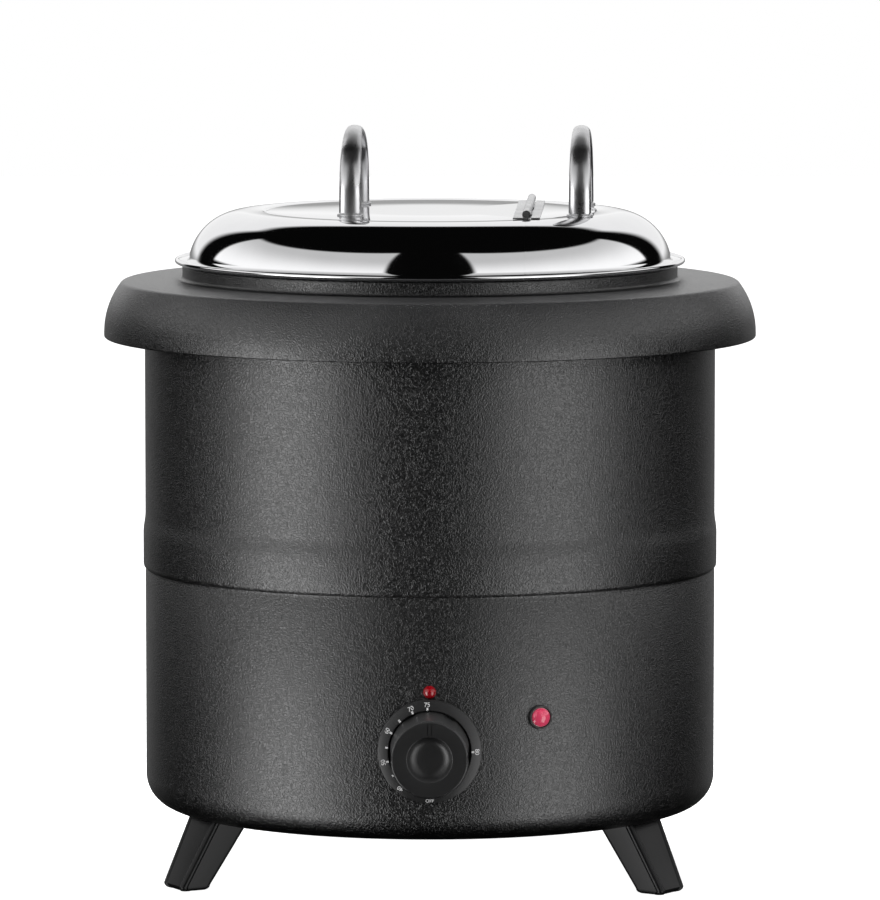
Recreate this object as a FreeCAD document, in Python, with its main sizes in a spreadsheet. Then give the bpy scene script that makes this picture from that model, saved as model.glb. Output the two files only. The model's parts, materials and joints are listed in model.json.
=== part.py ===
import FreeCAD, Part
import math
import os

import Sketcher

# Ten-litre soup kettle: a painted drum on three splayed feet, a wide pressed rim, a water pan
# heated from below, a lift-out steel food pot and a two-piece lid with a hinged serving flap.
# Millimetres, +Z up. The origin is on the drum's axis, on the surface that the feet stand on.
# The control knob faces -Y and the mains lead leaves at +Y.

Vector = FreeCAD.Vector
PARTS_FOLDER = "parts"
UP = Vector(0, 0, 1)
FORWARD = Vector(0, -1, 0)

doc = FreeCAD.newDocument("soup_kettle")
sheet = doc.addObject("Spreadsheet::Sheet", "Dims")


# ---------------------------------------------------------------- sizes and their formulas


class Size:
    """A length or angle that carries the spreadsheet formula it comes from."""

    def __init__(self, value, formula=None):
        self.value = float(value)
        self.formula = formula or repr(float(value))

    def join(self, other, sign, value):
        return Size(value, f"({self.formula} {sign} {size(other).formula})")

    def __add__(self, other):
        return self.join(other, "+", self.value + size(other).value)

    def __sub__(self, other):
        return self.join(other, "-", self.value - size(other).value)

    def __mul__(self, other):
        return self.join(other, "*", self.value * size(other).value)

    def __truediv__(self, other):
        return self.join(other, "/", self.value / size(other).value)

    def __neg__(self):
        return Size(-self.value, f"(0 - {self.formula})")


def size(number):
    return number if isinstance(number, Size) else Size(number)


def leg(hypotenuse, other_leg):
    """The remaining side of a right-angled triangle."""
    under = hypotenuse * hypotenuse - size(other_leg) * other_leg
    return Size(math.sqrt(under.value), f"sqrt({under.formula})")


def dimension(name, value):
    """Writes one driving dimension to the sheet and returns it."""
    row = dimension.rows = dimension.rows + 1
    sheet.set(f"A{row}", name)
    sheet.set(f"B{row}", str(value))
    sheet.setAlias(f"B{row}", name)
    return Size(value, f"Dims.{name}")


dimension.rows = 0

# Drum
drum_radius = dimension("drum_radius", 151.0)
drum_sheet = dimension("drum_sheet", 1.0)
drum_bottom = dimension("drum_bottom", 36.0)
drum_corner = dimension("drum_corner", 17.0)
drum_bottom_hole = dimension("drum_bottom_hole", 100.0)
drum_flange_inner = dimension("drum_flange_inner", 136.0)
band_low = dimension("band_low", 163.2)
band_high = dimension("band_high", 191.0)
band_step = dimension("band_step", 1.1)

# Rim cover
rim_radius = dimension("rim_radius", 172.5)
rim_top = dimension("rim_top", 316.0)
rim_sheet = dimension("rim_sheet", 1.2)
rim_low = dimension("rim_low", 285.5)
rim_crown = dimension("rim_crown", 42.5)
rim_crown_height = dimension("rim_crown_height", 288.0)
rim_shoulder_fall = dimension("rim_shoulder_fall", 1.0)
rim_shoulder_round = dimension("rim_shoulder_round", 3.0)
rim_flat_outer = dimension("rim_flat_outer", 150.0)
rim_hem_inner = dimension("rim_hem_inner", 166.0)
neck_radius = dimension("neck_radius", 131.0)
neck_top = dimension("neck_top", 324.0)
neck_round = dimension("neck_round", 1.5)
neck_foot_round = dimension("neck_foot_round", 2.0)
seat_radius = dimension("seat_radius", 122.5)
stud_circle = dimension("stud_circle", 143.0)
rim_stud_radius = dimension("rim_stud_radius", 2.0)
rim_stud_low = dimension("rim_stud_low", 305.0)

# Water pan and what is clamped beneath it
pan_radius = dimension("pan_radius", 127.0)
pan_sheet = dimension("pan_sheet", 0.8)
pan_bottom = dimension("pan_bottom", 69.0)
pan_corner = dimension("pan_corner", 12.0)
pan_flange_radius = dimension("pan_flange_radius", 149.0)
plate_radius = dimension("plate_radius", 85.0)
plate_thickness = dimension("plate_thickness", 5.0)
element_circle = dimension("element_circle", 66.0)
element_radius = dimension("element_radius", 3.3)
element_drop = dimension("element_drop", 1.4)
element_end_low = dimension("element_end_low", 44.0)
clamp_inner = dimension("clamp_inner", 54.0)
clamp_thickness = dimension("clamp_thickness", 1.5)
heater_stud_circle = dimension("heater_stud_circle", 78.0)
heater_stud_radius = dimension("heater_stud_radius", 2.5)
heater_stud_low = dimension("heater_stud_low", 51.0)

# Food pot
pot_radius = dimension("pot_radius", 120.5)
pot_sheet = dimension("pot_sheet", 1.0)
pot_bottom = dimension("pot_bottom", 90.0)
pot_corner = dimension("pot_corner", 20.0)
pot_flange_radius = dimension("pot_flange_radius", 133.0)
pot_lip_round = dimension("pot_lip_round", 1.5)

# Lid
lid_radius = dimension("lid_radius", 135.0)
lid_sheet = dimension("lid_sheet", 1.0)
lid_top = dimension("lid_top", 352.0)
lid_shoulder = dimension("lid_shoulder", 30.0)
lid_flat_radius = dimension("lid_flat_radius", 98.0)
lid_roll_width = dimension("lid_roll_width", 1.6)
lid_roll_drop = dimension("lid_roll_drop", 0.6)
lid_roll_height = dimension("lid_roll_height", 2.8)
lid_groove_radius = dimension("lid_groove_radius", 87.0)
lid_groove_depth = dimension("lid_groove_depth", 0.5)
lid_seam = dimension("lid_seam", 52.5)
lid_seam_gap = dimension("lid_seam_gap", 0.6)
lid_turn = dimension("lid_turn", 1.9)
hinge_radius = dimension("hinge_radius", 2.2)
hinge_length = dimension("hinge_length", 140.0)
hinge_pin_radius = dimension("hinge_pin_radius", 1.0)
hinge_leaf_width = dimension("hinge_leaf_width", 7.0)
hinge_leaf_sheet = dimension("hinge_leaf_sheet", 0.7)
running_gap = dimension("running_gap", 0.05)
side_gap = dimension("side_gap", 0.3)

# Lid handles
main_handle_at = dimension("main_handle_at", -40.0)
flap_handle_at = dimension("flap_handle_at", 80.0)
handle_half_span = dimension("handle_half_span", 48.0)
handle_apex = dimension("handle_apex", 397.0)
handle_corner = dimension("handle_corner", 24.0)
handle_crown = dimension("handle_crown", 80.0)
handle_foot_half_width = dimension("handle_foot_half_width", 6.0)
handle_apex_half_width = dimension("handle_apex_half_width", 4.4)
handle_foot_half_depth = dimension("handle_foot_half_depth", 3.6)
handle_apex_half_depth = dimension("handle_apex_half_depth", 3.1)
handle_ring_radius = dimension("handle_ring_radius", 7.0)
handle_ring_height = dimension("handle_ring_height", 1.6)

# Controls
knob_height = dimension("knob_height", 84.4)
knob_skirt_radius = dimension("knob_skirt_radius", 26.65)
knob_grip_radius = dimension("knob_grip_radius", 20.75)
knob_depth = dimension("knob_depth", 35.0)
knob_clearance = dimension("knob_clearance", 1.0)
knob_dish_radius = dimension("knob_dish_radius", 11.0)
knob_dish_depth = dimension("knob_dish_depth", 4.0)
knob_bore_depth = dimension("knob_bore_depth", 16.0)
shaft_radius = dimension("shaft_radius", 3.0)
thermostat_face = dimension("thermostat_face", 146.5)
thermostat_depth = dimension("thermostat_depth", 16.5)
thermostat_width = dimension("thermostat_width", 38.0)
thermostat_height = dimension("thermostat_height", 30.0)
thermostat_screw_offset = dimension("thermostat_screw_offset", 14.0)
lamp_height = dimension("lamp_height", 100.4)
lamp_azimuth = dimension("lamp_azimuth", 22.0)
lamp_body_radius = dimension("lamp_body_radius", 5.0)
lamp_bezel_radius = dimension("lamp_bezel_radius", 6.2)
marker_height = dimension("marker_height", 114.6)
marker_radius = dimension("marker_radius", 3.4)

# Mains inlet
gland_height = dimension("gland_height", 70.0)
gland_bore = dimension("gland_bore", 4.2)
gland_radius = dimension("gland_radius", 7.9)
gland_tip = dimension("gland_tip", 182.0)
gland_collar_radius = dimension("gland_collar_radius", 11.0)
gland_collar_height = dimension("gland_collar_height", 3.0)

# Base and feet
base_radius = dimension("base_radius", 112.0)
base_sheet = dimension("base_sheet", 0.8)
base_screw_circle = dimension("base_screw_circle", 106.0)
foot_top_radius = dimension("foot_top_radius", 125.0)
foot_low_radius = dimension("foot_low_radius", 144.0)
foot_top_length = dimension("foot_top_length", 22.0)
foot_top_width = dimension("foot_top_width", 31.0)
foot_low_length = dimension("foot_low_length", 18.0)
foot_low_width = dimension("foot_low_width", 23.0)
foot_corner = dimension("foot_corner", 3.0)
foot_edge = dimension("foot_edge", 1.5)
foot_screw_radius = dimension("foot_screw_radius", 2.5)
lead_radius = dimension("lead_radius", 1.1)

doc.recompute()

FOOT_AZIMUTHS = {"foot_left": -61.5, "foot_right": 56.0, "foot_rear": 177.0}
RIM_STUDS = 6
HEATER_STUD_AZIMUTHS = (90.0, 210.0, 330.0)
BASE_SCREW_AZIMUTHS = (45.0, 135.0, 225.0, 315.0)
KNOB_FLUTES = 6
HINGE_KNUCKLES = 5

# Heights and radii that follow from the driving dimensions
rim_under = rim_top - rim_sheet
pan_flange_low = rim_under - pan_sheet
drum_top = pan_flange_low
drum_inner = drum_radius - drum_sheet
plate_low = pan_bottom - plate_thickness
element_height = plate_low - element_drop
clamp_top = element_height - element_radius
pot_top = neck_top + pot_sheet
lid_base = pot_top
hinge_height = lid_top + hinge_radius + 0.1
ring_top = lid_top + handle_ring_height
thermostat_low = knob_height - thermostat_height / 2


# ---------------------------------------------------------------- drawing helpers


def bind(item, **sizes):
    """Binds properties of an object to formulas of the sheet."""
    for name, value in sizes.items():
        item.setExpression(name, size(value).formula)
    return item


def place(item, at=(0, 0, 0), rotation=FreeCAD.Rotation()):
    """Puts an object at a point whose coordinates are formulas, with a fixed rotation."""
    item.Placement = FreeCAD.Placement(Vector(*[size(c).value for c in at]), rotation)
    for axis, value in zip("xyz", at):
        if isinstance(value, Size):
            item.setExpression(f"Placement.Base.{axis}", value.formula)
    return item


def origin_plane(body, role):
    return next(f for f in body.Origin.OriginFeatures if f.Role == role)


def sketch_on(body, role, height=None):
    sketch = body.newObject("Sketcher::SketchObject", body.Name + "_sketch")
    sketch.AttachmentSupport = [(origin_plane(body, role), "")]
    sketch.MapMode = "FlatFace"
    if height is not None:
        sketch.setExpression("AttachmentOffset.Base.z", size(height).formula)
    return sketch


def pin_coordinate(sketch, kind, geometry, point, value):
    """Holds one coordinate of a sketch point at a formula."""
    value = size(value)
    axis = -2 if kind == "DistanceX" else -1
    if value.value == 0:
        sketch.addConstraint(Sketcher.Constraint("PointOnObject", geometry, point, axis))
        return
    index = sketch.addConstraint(
        Sketcher.Constraint(kind, -1, 1, geometry, point, value.value)
    )
    sketch.setExpression(f"Constraints[{index}]", value.formula)


def pin_point(sketch, geometry, point, spot):
    pin_coordinate(sketch, "DistanceX", geometry, point, spot[0])
    pin_coordinate(sketch, "DistanceY", geometry, point, spot[1])


def arc_between(start, end, centre, clockwise):
    circle_start, circle_end = (end, start) if clockwise else (start, end)
    angles = [
        math.atan2(p.y - centre.y, p.x - centre.x) for p in (circle_start, circle_end)
    ]
    circle = Part.Circle(centre, UP, start.distanceToPoint(centre))
    return Part.ArcOfCircle(circle, *angles)


def outline(sketch, start, *steps):
    """Draws a closed outline with every corner held by formulas.

    A step is (x, y) for a straight run, or (x, y, centre_x, centre_y, turn) for an arc, where
    turn is "cw" or "ccw". The run that closes the outline is straight.
    """
    spots = [start] + [step[:2] for step in steps]
    points = [Vector(size(x).value, size(y).value, 0) for x, y in spots]
    arcs = [None if len(step) == 2 else step[2:] for step in steps] + [None]
    ends = []
    for index, arc in enumerate(arcs):
        here, there = points[index], points[(index + 1) % len(points)]
        if arc is None:
            geometry = sketch.addGeometry(Part.LineSegment(here, there), False)
            ends.append((geometry, 1, 2))
            continue
        centre = Vector(size(arc[0]).value, size(arc[1]).value, 0)
        clockwise = arc[2] == "cw"
        curve = arc_between(here, there, centre, clockwise)
        geometry = sketch.addGeometry(curve, False)
        ends.append((geometry, 2, 1) if clockwise else (geometry, 1, 2))
        pin_point(sketch, geometry, 3, arc[:2])
    pin_point(sketch, ends[0][0], ends[0][1], start)
    for index, (geometry, _, last) in enumerate(ends):
        following, first, _ = ends[(index + 1) % len(ends)]
        sketch.addConstraint(
            Sketcher.Constraint("Coincident", geometry, last, following, first)
        )
        if index + 1 == len(ends):
            break
        spot, arc = spots[index + 1], arcs[index]
        if arc is None:
            pin_point(sketch, geometry, last, spot)
            continue
        across = points[index + 1].x - size(arc[0]).value
        along = points[index + 1].y - size(arc[1]).value
        if abs(along) > abs(across):
            pin_coordinate(sketch, "DistanceX", geometry, last, spot[0])
        else:
            pin_coordinate(sketch, "DistanceY", geometry, last, spot[1])


def turned(label, start, *steps, sweep=360):
    """A body turned about Z from an outline in the XZ plane, evenly to both sides of it."""
    body = doc.addObject("PartDesign::Body", label)
    sketch = sketch_on(body, "XZ_Plane")
    outline(sketch, start, *steps)
    revolution = body.newObject("PartDesign::Revolution", label + "_turned")
    revolution.Profile = sketch
    revolution.ReferenceAxis = (sketch, ["V_Axis"])
    revolution.Angle = sweep
    revolution.Midplane = sweep < 360
    body.Tip = revolution
    return body


def rod(name, radius, length, at, direction=UP):
    """A cylinder that starts at a point and runs in a direction."""
    cylinder = doc.addObject("Part::Cylinder", name)
    bind(cylinder, Radius=radius, Height=length)
    return place(cylinder, at, FreeCAD.Rotation(UP, direction))


def cone(name, radius_1, radius_2, length, at, direction=UP):
    item = doc.addObject("Part::Cone", name)
    bind(item, Radius1=radius_1, Radius2=radius_2, Height=length)
    return place(item, at, FreeCAD.Rotation(UP, direction))


def block(name, low, span):
    """A box from its lowest corner and its three sizes."""
    item = doc.addObject("Part::Box", name)
    bind(item, Length=span[0], Width=span[1], Height=span[2])
    return place(item, low)


def hexagon(name, across_flats, length, at, direction=UP):
    prism = doc.addObject("Part::Prism", name)
    prism.Polygon = 6
    bind(prism, Circumradius=size(across_flats) / math.sqrt(3), Height=length)
    return place(prism, at, FreeCAD.Rotation(UP, direction))


def compound(label, items):
    group = doc.addObject("Part::Compound", label)
    group.Links = items
    return group


def fused(label, *items):
    item = doc.addObject("Part::MultiFuse", label)
    item.Shapes = list(items)
    item.Refine = True
    return item


def without(label, base, *tools):
    item = doc.addObject("Part::Cut", label)
    item.Base = base
    item.Tool = tools[0] if len(tools) == 1 else compound(label + "_tools", list(tools))
    return item


def within(label, first, second):
    item = doc.addObject("Part::MultiCommon", label)
    item.Shapes = [first, second]
    return item


def nut(name, across_flats, height, bore, at, direction=UP):
    body = hexagon(name + "_hex", across_flats, height, at, direction)
    hole = rod(name + "_bore", bore, height, at, direction)
    return without(name, body, hole)


def screw(name, shank, length, head, head_height, at, direction):
    """A pan-head screw: at is under the head, direction is the way the shank points."""
    shank_rod = rod(name + "_shank", shank, length, at, direction)
    head_rod = rod(name + "_head", head, head_height, at, -direction)
    return fused(name, shank_rod, head_rod)


def around(radius, azimuth, height):
    """A point at a radius and azimuth, anticlockwise from +X."""
    angle = math.radians(azimuth)
    return (radius * math.cos(angle), radius * math.sin(angle), height)


def bent_wire(points, bend):
    """Straight runs joined by tangent arcs through the corners of a route."""
    edges = []
    start = points[0]
    for before, corner, after in zip(points, points[1:], points[2:]):
        back = (before - corner).normalize()
        ahead = (after - corner).normalize()
        half_turn = (math.pi - back.getAngle(ahead)) / 2
        if half_turn < 0.01:
            continue
        room = 0.45 * min((before - corner).Length, (after - corner).Length)
        setback = min(bend * math.tan(half_turn), room)
        radius = setback / math.tan(half_turn)
        first = corner + back * setback
        last = corner + ahead * setback
        inward = (back + ahead).normalize()
        centre = corner + inward * (radius / math.cos(half_turn))
        middle = centre - inward * radius
        edges.append(Part.LineSegment(start, first).toShape())
        edges.append(Part.Arc(first, middle, last).toShape())
        start = last
    edges.append(Part.LineSegment(start, points[-1]).toShape())
    return Part.Wire(edges)


def bent_rod(label, radius, bend, *route):
    """A round rod bent along a route of points; its sizes are read from the sheet."""
    points = [Vector(*[size(c).value for c in point]) for point in route]
    wire = bent_wire(points, size(bend).value)
    direction = points[1] - points[0]
    circle = Part.Circle(points[0], direction, size(radius).value)
    section = Part.Wire([circle.toShape()])
    item = doc.addObject("Part::Feature", label)
    item.Shape = wire.makePipeShell([section], True, False)
    volume = math.pi * size(radius).value ** 2 * wire.Length
    if abs(item.Shape.Volume / volume - 1) > 0.01:
        raise RuntimeError(f"{label} has not the volume of its route")
    return item


# ---------------------------------------------------------------- drum, rim and feet


def front(offset, height, depth):
    """A point on the front of the drum, seen from the front: offset to the right."""
    return (offset, -size(depth), height)


def lamp_direction():
    angle = math.radians(lamp_azimuth.value)
    return Vector(math.sin(angle), -math.cos(angle), 0)


def lamp_point(depth):
    direction = lamp_direction()
    return (size(depth) * direction.x, size(depth) * direction.y, lamp_height)


def foot_angle(azimuth):
    """Azimuth from the front, positive to the right, as an angle from +X."""
    return azimuth - 90.0


def foot_screw_point(azimuth, height):
    return around(foot_top_radius - 1, foot_angle(azimuth), height)


def drum_openings():
    """Round holes through the drum for everything that is fixed to it."""
    tools = [
        rod("hole_shaft", 5.6, 10, front(0, knob_height, drum_inner - 5), FORWARD),
        rod("hole_marker", 2.1, 10, front(0, marker_height, drum_inner - 5), FORWARD),
        rod("hole_lamp", 5.1, 10, lamp_point(drum_inner - 5), lamp_direction()),
        rod("hole_gland", gland_radius + 0.1, 12, (0, drum_inner - 6, gland_height), -FORWARD),
    ]
    for side in (-1, 1):
        at = front(thermostat_screw_offset * side, knob_height, drum_inner - 5)
        tools.append(rod("hole_thermostat", 2.1, 10, at, FORWARD))
    for number in range(RIM_STUDS):
        at = around(stud_circle, 30 + number * 360 / RIM_STUDS, drum_top - 5)
        tools.append(rod("hole_stud", rim_stud_radius + 0.2, 10, at))
    for azimuth in FOOT_AZIMUTHS.values():
        at = foot_screw_point(azimuth, drum_bottom - 5)
        tools.append(rod("hole_foot", foot_screw_radius + 0.1, 10, at))
    for azimuth in BASE_SCREW_AZIMUTHS:
        at = around(base_screw_circle, azimuth, drum_bottom - 5)
        tools.append(rod("hole_base", 1.9, 10, at))
    return tools


def outer_shell():
    """Rolled drum with a swaged band, a turned-in bottom and a turned-in top flange."""
    inner = drum_inner
    bottom_top = drum_bottom + drum_sheet
    flat = drum_radius - drum_corner
    corner_height = drum_bottom + drum_corner
    rise = drum_sheet * 0.3
    body = turned(
        "drum_turned",
        (drum_bottom_hole, drum_bottom),
        (flat, drum_bottom),
        (drum_radius, corner_height, flat, corner_height, "ccw"),
        (drum_radius, band_low),
        (drum_radius + band_step, band_low + band_step),
        (drum_radius + band_step, band_high - 6),
        (drum_radius, band_high),
        (drum_radius, drum_top),
        (drum_flange_inner, drum_top),
        (drum_flange_inner, drum_top - drum_sheet),
        (inner, drum_top - drum_sheet),
        (inner, band_high),
        (inner + band_step, band_high - 6),
        (inner + band_step, band_low + band_step + rise),
        (inner, band_low + rise),
        (inner, corner_height),
        (flat, bottom_top, flat, corner_height, "cw"),
        (drum_bottom_hole, bottom_top),
    )
    return [without("outer_shell", body, *drum_openings())]


def rim_cover():
    """Pressed rim: seat, neck, flat shoulder, round crown, skirt and hem, with welded studs."""
    inner_neck = neck_radius - rim_sheet
    crown_centre = rim_radius - rim_crown
    shoulder_height = rim_top - rim_shoulder_fall
    round_height = shoulder_height - rim_shoulder_round
    rise = round_height - rim_crown_height
    reach = leg(rim_crown - rim_shoulder_round, rise)
    round_centre = crown_centre + reach
    stretch = rim_crown / (rim_crown - rim_shoulder_round)
    inner_stretch = (rim_crown - rim_sheet) / (rim_crown - rim_shoulder_round)
    meet = (crown_centre + reach * stretch, rim_crown_height + rise * stretch)
    inner_meet = (
        crown_centre + reach * inner_stretch,
        rim_crown_height + rise * inner_stretch,
    )
    inner_radius = rim_radius - rim_sheet
    hem_round = 0.8
    foot_height = rim_top + neck_foot_round
    body = turned(
        "rim_turned",
        (seat_radius, neck_top),
        (neck_radius - neck_round, neck_top),
        (
            neck_radius,
            neck_top - neck_round,
            neck_radius - neck_round,
            neck_top - neck_round,
            "cw",
        ),
        (neck_radius, foot_height),
        (
            neck_radius + neck_foot_round,
            rim_top,
            neck_radius + neck_foot_round,
            foot_height,
            "ccw",
        ),
        (rim_flat_outer, rim_top),
        (round_centre, shoulder_height),
        (*meet, round_centre, round_height, "cw"),
        (rim_radius, rim_crown_height, crown_centre, rim_crown_height, "cw"),
        (rim_radius, rim_low + hem_round),
        (
            rim_radius - hem_round,
            rim_low,
            rim_radius - hem_round,
            rim_low + hem_round,
            "cw",
        ),
        (rim_hem_inner, rim_low),
        (rim_hem_inner, rim_low + rim_sheet),
        (inner_radius, rim_low + rim_sheet),
        (inner_radius, rim_crown_height),
        (*inner_meet, crown_centre, rim_crown_height, "ccw"),
        (round_centre, shoulder_height - rim_sheet, round_centre, round_height, "ccw"),
        (rim_flat_outer, rim_under),
        (inner_neck, rim_under),
        (inner_neck, neck_top - rim_sheet),
        (seat_radius, neck_top - rim_sheet),
    )
    studs = []
    nuts = []
    for number in range(RIM_STUDS):
        azimuth = 30 + number * 360 / RIM_STUDS
        length = rim_under - rim_stud_low
        at = around(stud_circle, azimuth, rim_stud_low)
        studs.append(rod("rim_stud", rim_stud_radius, length, at))
        nut_height = 3.2
        nut_at = around(stud_circle, azimuth, drum_top - drum_sheet - nut_height)
        nuts.append(nut("rim_nut", 7.0, nut_height, rim_stud_radius + running_gap, nut_at))
    return [fused("rim_cover", body, *studs), compound("rim_nuts", nuts)]


def foot_outline(sketch, centre, length, width):
    """A rectangle with round corners, centred on X."""
    low_x = centre - length / 2
    high_x = centre + length / 2
    half = width / 2
    r = foot_corner
    outline(
        sketch,
        (centre, -half),
        (high_x - r, -half),
        (high_x, -half + r, high_x - r, -half + r, "ccw"),
        (high_x, half - r),
        (high_x - r, half, high_x - r, half - r, "ccw"),
        (low_x + r, half),
        (low_x, half - r, low_x + r, half - r, "ccw"),
        (low_x, -half + r),
        (low_x + r, -half, low_x + r, -half + r, "ccw"),
    )


def foot(label, azimuth):
    """A splayed moulded foot, wider at the top, with a screw hole down into its top."""
    body = doc.addObject("PartDesign::Body", label + "_moulding")
    tread = sketch_on(body, "XY_Plane")
    tread_length = foot_low_length - foot_edge * 2
    foot_outline(tread, foot_low_radius, tread_length, foot_low_width - foot_edge * 2)
    low = sketch_on(body, "XY_Plane", foot_edge)
    foot_outline(low, foot_low_radius, foot_low_length, foot_low_width)
    top = sketch_on(body, "XY_Plane", drum_bottom)
    foot_outline(top, foot_top_radius, foot_top_length, foot_top_width)
    loft = body.newObject("PartDesign::AdditiveLoft", label + "_loft")
    loft.Profile = tread
    loft.Sections = [low, top]
    loft.Ruled = True
    body.Tip = loft
    turn = FreeCAD.Rotation(UP, foot_angle(azimuth))
    place(body, rotation=turn)
    depth = 12
    at = foot_screw_point(azimuth, drum_bottom - depth)
    hole = rod(label + "_hole", foot_screw_radius + running_gap, depth, at)
    return without(label, body, hole)


def feet():
    made = [foot(label, azimuth) for label, azimuth in FOOT_AZIMUTHS.items()]
    screws = []
    for azimuth in FOOT_AZIMUTHS.values():
        at = foot_screw_point(azimuth, drum_bottom + drum_sheet)
        screws.append(screw("foot_screw", foot_screw_radius, 11, 4.6, 3.0, at, -UP))
    return made + [compound("foot_screws", screws)]


def base():
    """The cover plate under the drum, with its screws and the earth terminal."""
    low = drum_bottom - base_sheet
    plate = rod("base_disc", base_radius, base_sheet, (0, 0, low))
    screws = []
    holes = []
    for azimuth in BASE_SCREW_AZIMUTHS:
        at = around(base_screw_circle, azimuth, low)
        screws.append(screw("base_screw", 1.8, 6.0, 3.6, 1.8, at, UP))
        holes.append(rod("base_hole", 1.9, 3, around(base_screw_circle, azimuth, low - 1)))
    earth_x, earth_y = 32.0, 84.0
    holes.append(rod("earth_hole", 2.1, 3, (earth_x, earth_y, low - 1)))
    earth = screw("earth_screw", 2.0, 12.0, 3.8, 2.2, (earth_x, earth_y, low), UP)
    earth_nut = nut("earth_nut", 7.0, 3.2, 2.05, (earth_x, earth_y, drum_bottom))
    return [
        without("base_plate", plate, *holes),
        compound("base_screws", screws),
        earth,
        earth_nut,
    ]


# ---------------------------------------------------------------- water pan and heating


def water_pan():
    """Deep-drawn pan that holds the hot water, with studs welded under its floor."""
    outer = pan_radius + pan_sheet
    lip = 2.0
    corner_height = pan_bottom + pan_corner
    flat = outer - pan_corner
    lip_height = pan_flange_low - lip
    body = turned(
        "pan_turned",
        (pan_flange_radius, rim_under),
        (pan_flange_radius, pan_flange_low),
        (outer + lip, pan_flange_low),
        (outer, lip_height, outer + lip, lip_height, "ccw"),
        (outer, corner_height),
        (flat, pan_bottom, flat, corner_height, "cw"),
        (0, pan_bottom),
        (0, pan_bottom + pan_sheet),
        (flat, pan_bottom + pan_sheet),
        (pan_radius, corner_height, flat, corner_height, "ccw"),
        (pan_radius, lip_height),
        (outer + lip, rim_under, outer + lip, lip_height, "cw"),
    )
    holes = []
    for number in range(RIM_STUDS):
        at = around(stud_circle, 30 + number * 360 / RIM_STUDS, pan_flange_low - 2)
        holes.append(rod("pan_hole", rim_stud_radius + 0.2, 5, at))
    pierced = without("pan_pierced", body, *holes)
    studs = []
    for azimuth in HEATER_STUD_AZIMUTHS:
        at = around(heater_stud_circle, azimuth, heater_stud_low)
        studs.append(rod("pan_stud", heater_stud_radius, pan_bottom - heater_stud_low, at))
    return fused("water_pan", pierced, *studs)


def insulation_blanket():
    inner = pan_radius + pan_sheet + 1.5
    outer = drum_inner - 3.5
    return turned(
        "insulation_blanket",
        (inner, 122),
        (outer, 122),
        (outer, 300),
        (inner, 300),
    )


def ring(name, circle, radius, height, gap_degrees, gap_azimuth):
    """Part of a torus, open over a gap."""
    torus = doc.addObject("Part::Torus", name)
    bind(torus, Radius1=circle, Radius2=radius)
    torus.Angle3 = 360 - gap_degrees
    turn = FreeCAD.Rotation(UP, gap_azimuth + gap_degrees / 2)
    return place(torus, (0, 0, height), turn)


def heater():
    """Aluminium spreader plate with a sheathed element pressed into a groove below it."""
    gap, gap_azimuth = 36.0, 45.0
    disc = rod("spreader_disc", plate_radius, plate_thickness, (0, 0, plate_low))
    groove_radius = element_radius + 0.1
    groove = ring("spreader_groove", element_circle, groove_radius, element_height, 0, 0)
    holes = []
    nuts = []
    clamp_holes = []
    for azimuth in HEATER_STUD_AZIMUTHS:
        at = around(heater_stud_circle, azimuth, heater_stud_low)
        holes.append(rod("spreader_hole", heater_stud_radius + 0.1, 30, at))
        clamp_holes.append(rod("clamp_hole", heater_stud_radius + 0.1, 30, at))
        nut_height = 4.0
        nut_at = around(heater_stud_circle, azimuth, clamp_top - clamp_thickness - nut_height)
        bore = heater_stud_radius + running_gap
        nuts.append(nut("heater_nut", 8.0, nut_height, bore, nut_at))
    plate = without("heater_plate", disc, groove, *holes)

    sheath = ring("sheath", element_circle, element_radius, element_height, gap, gap_azimuth)
    ends = []
    for side in (-1, 1):
        azimuth = gap_azimuth + side * gap / 2
        ends.append(
            rod(
                "cold_end",
                element_radius,
                element_height - element_end_low,
                around(element_circle, azimuth, element_end_low),
            )
        )
    element = fused("heating_element", sheath, *ends)

    clamp_low = clamp_top - clamp_thickness
    clamp_disc = rod("clamp_disc", plate_radius, clamp_thickness, (0, 0, clamp_low))
    clamp_eye = rod("clamp_eye", clamp_inner, 10, (0, 0, clamp_low - 4))
    end_slots = []
    for side in (-1, 1):
        at = around(element_circle, gap_azimuth + side * gap / 2, clamp_low - 4)
        end_slots.append(rod("clamp_slot", element_radius + 0.3, 10, at))
    clamp = without("heater_clamp", clamp_disc, clamp_eye, *end_slots, *clamp_holes)
    return [plate, element, clamp, compound("heater_nuts", nuts)]


def thermal_cutout():
    """Disc thermostat that opens if the pan boils dry."""
    x, y = 26.0, 0.0
    can = rod("cutout_can", 8.2, 7.0, (x, y, plate_low - 7))
    strap = block("cutout_strap", (x - 15, y - 5, plate_low - 0.8), (30, 10, 0.8))
    tabs = [
        block("cutout_tab", (x + side * 4 - 0.4, y - 3, plate_low - 14), (0.8, 6, 7))
        for side in (-1, 1)
    ]
    return fused("thermal_cutout", can, strap, *tabs)


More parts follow.
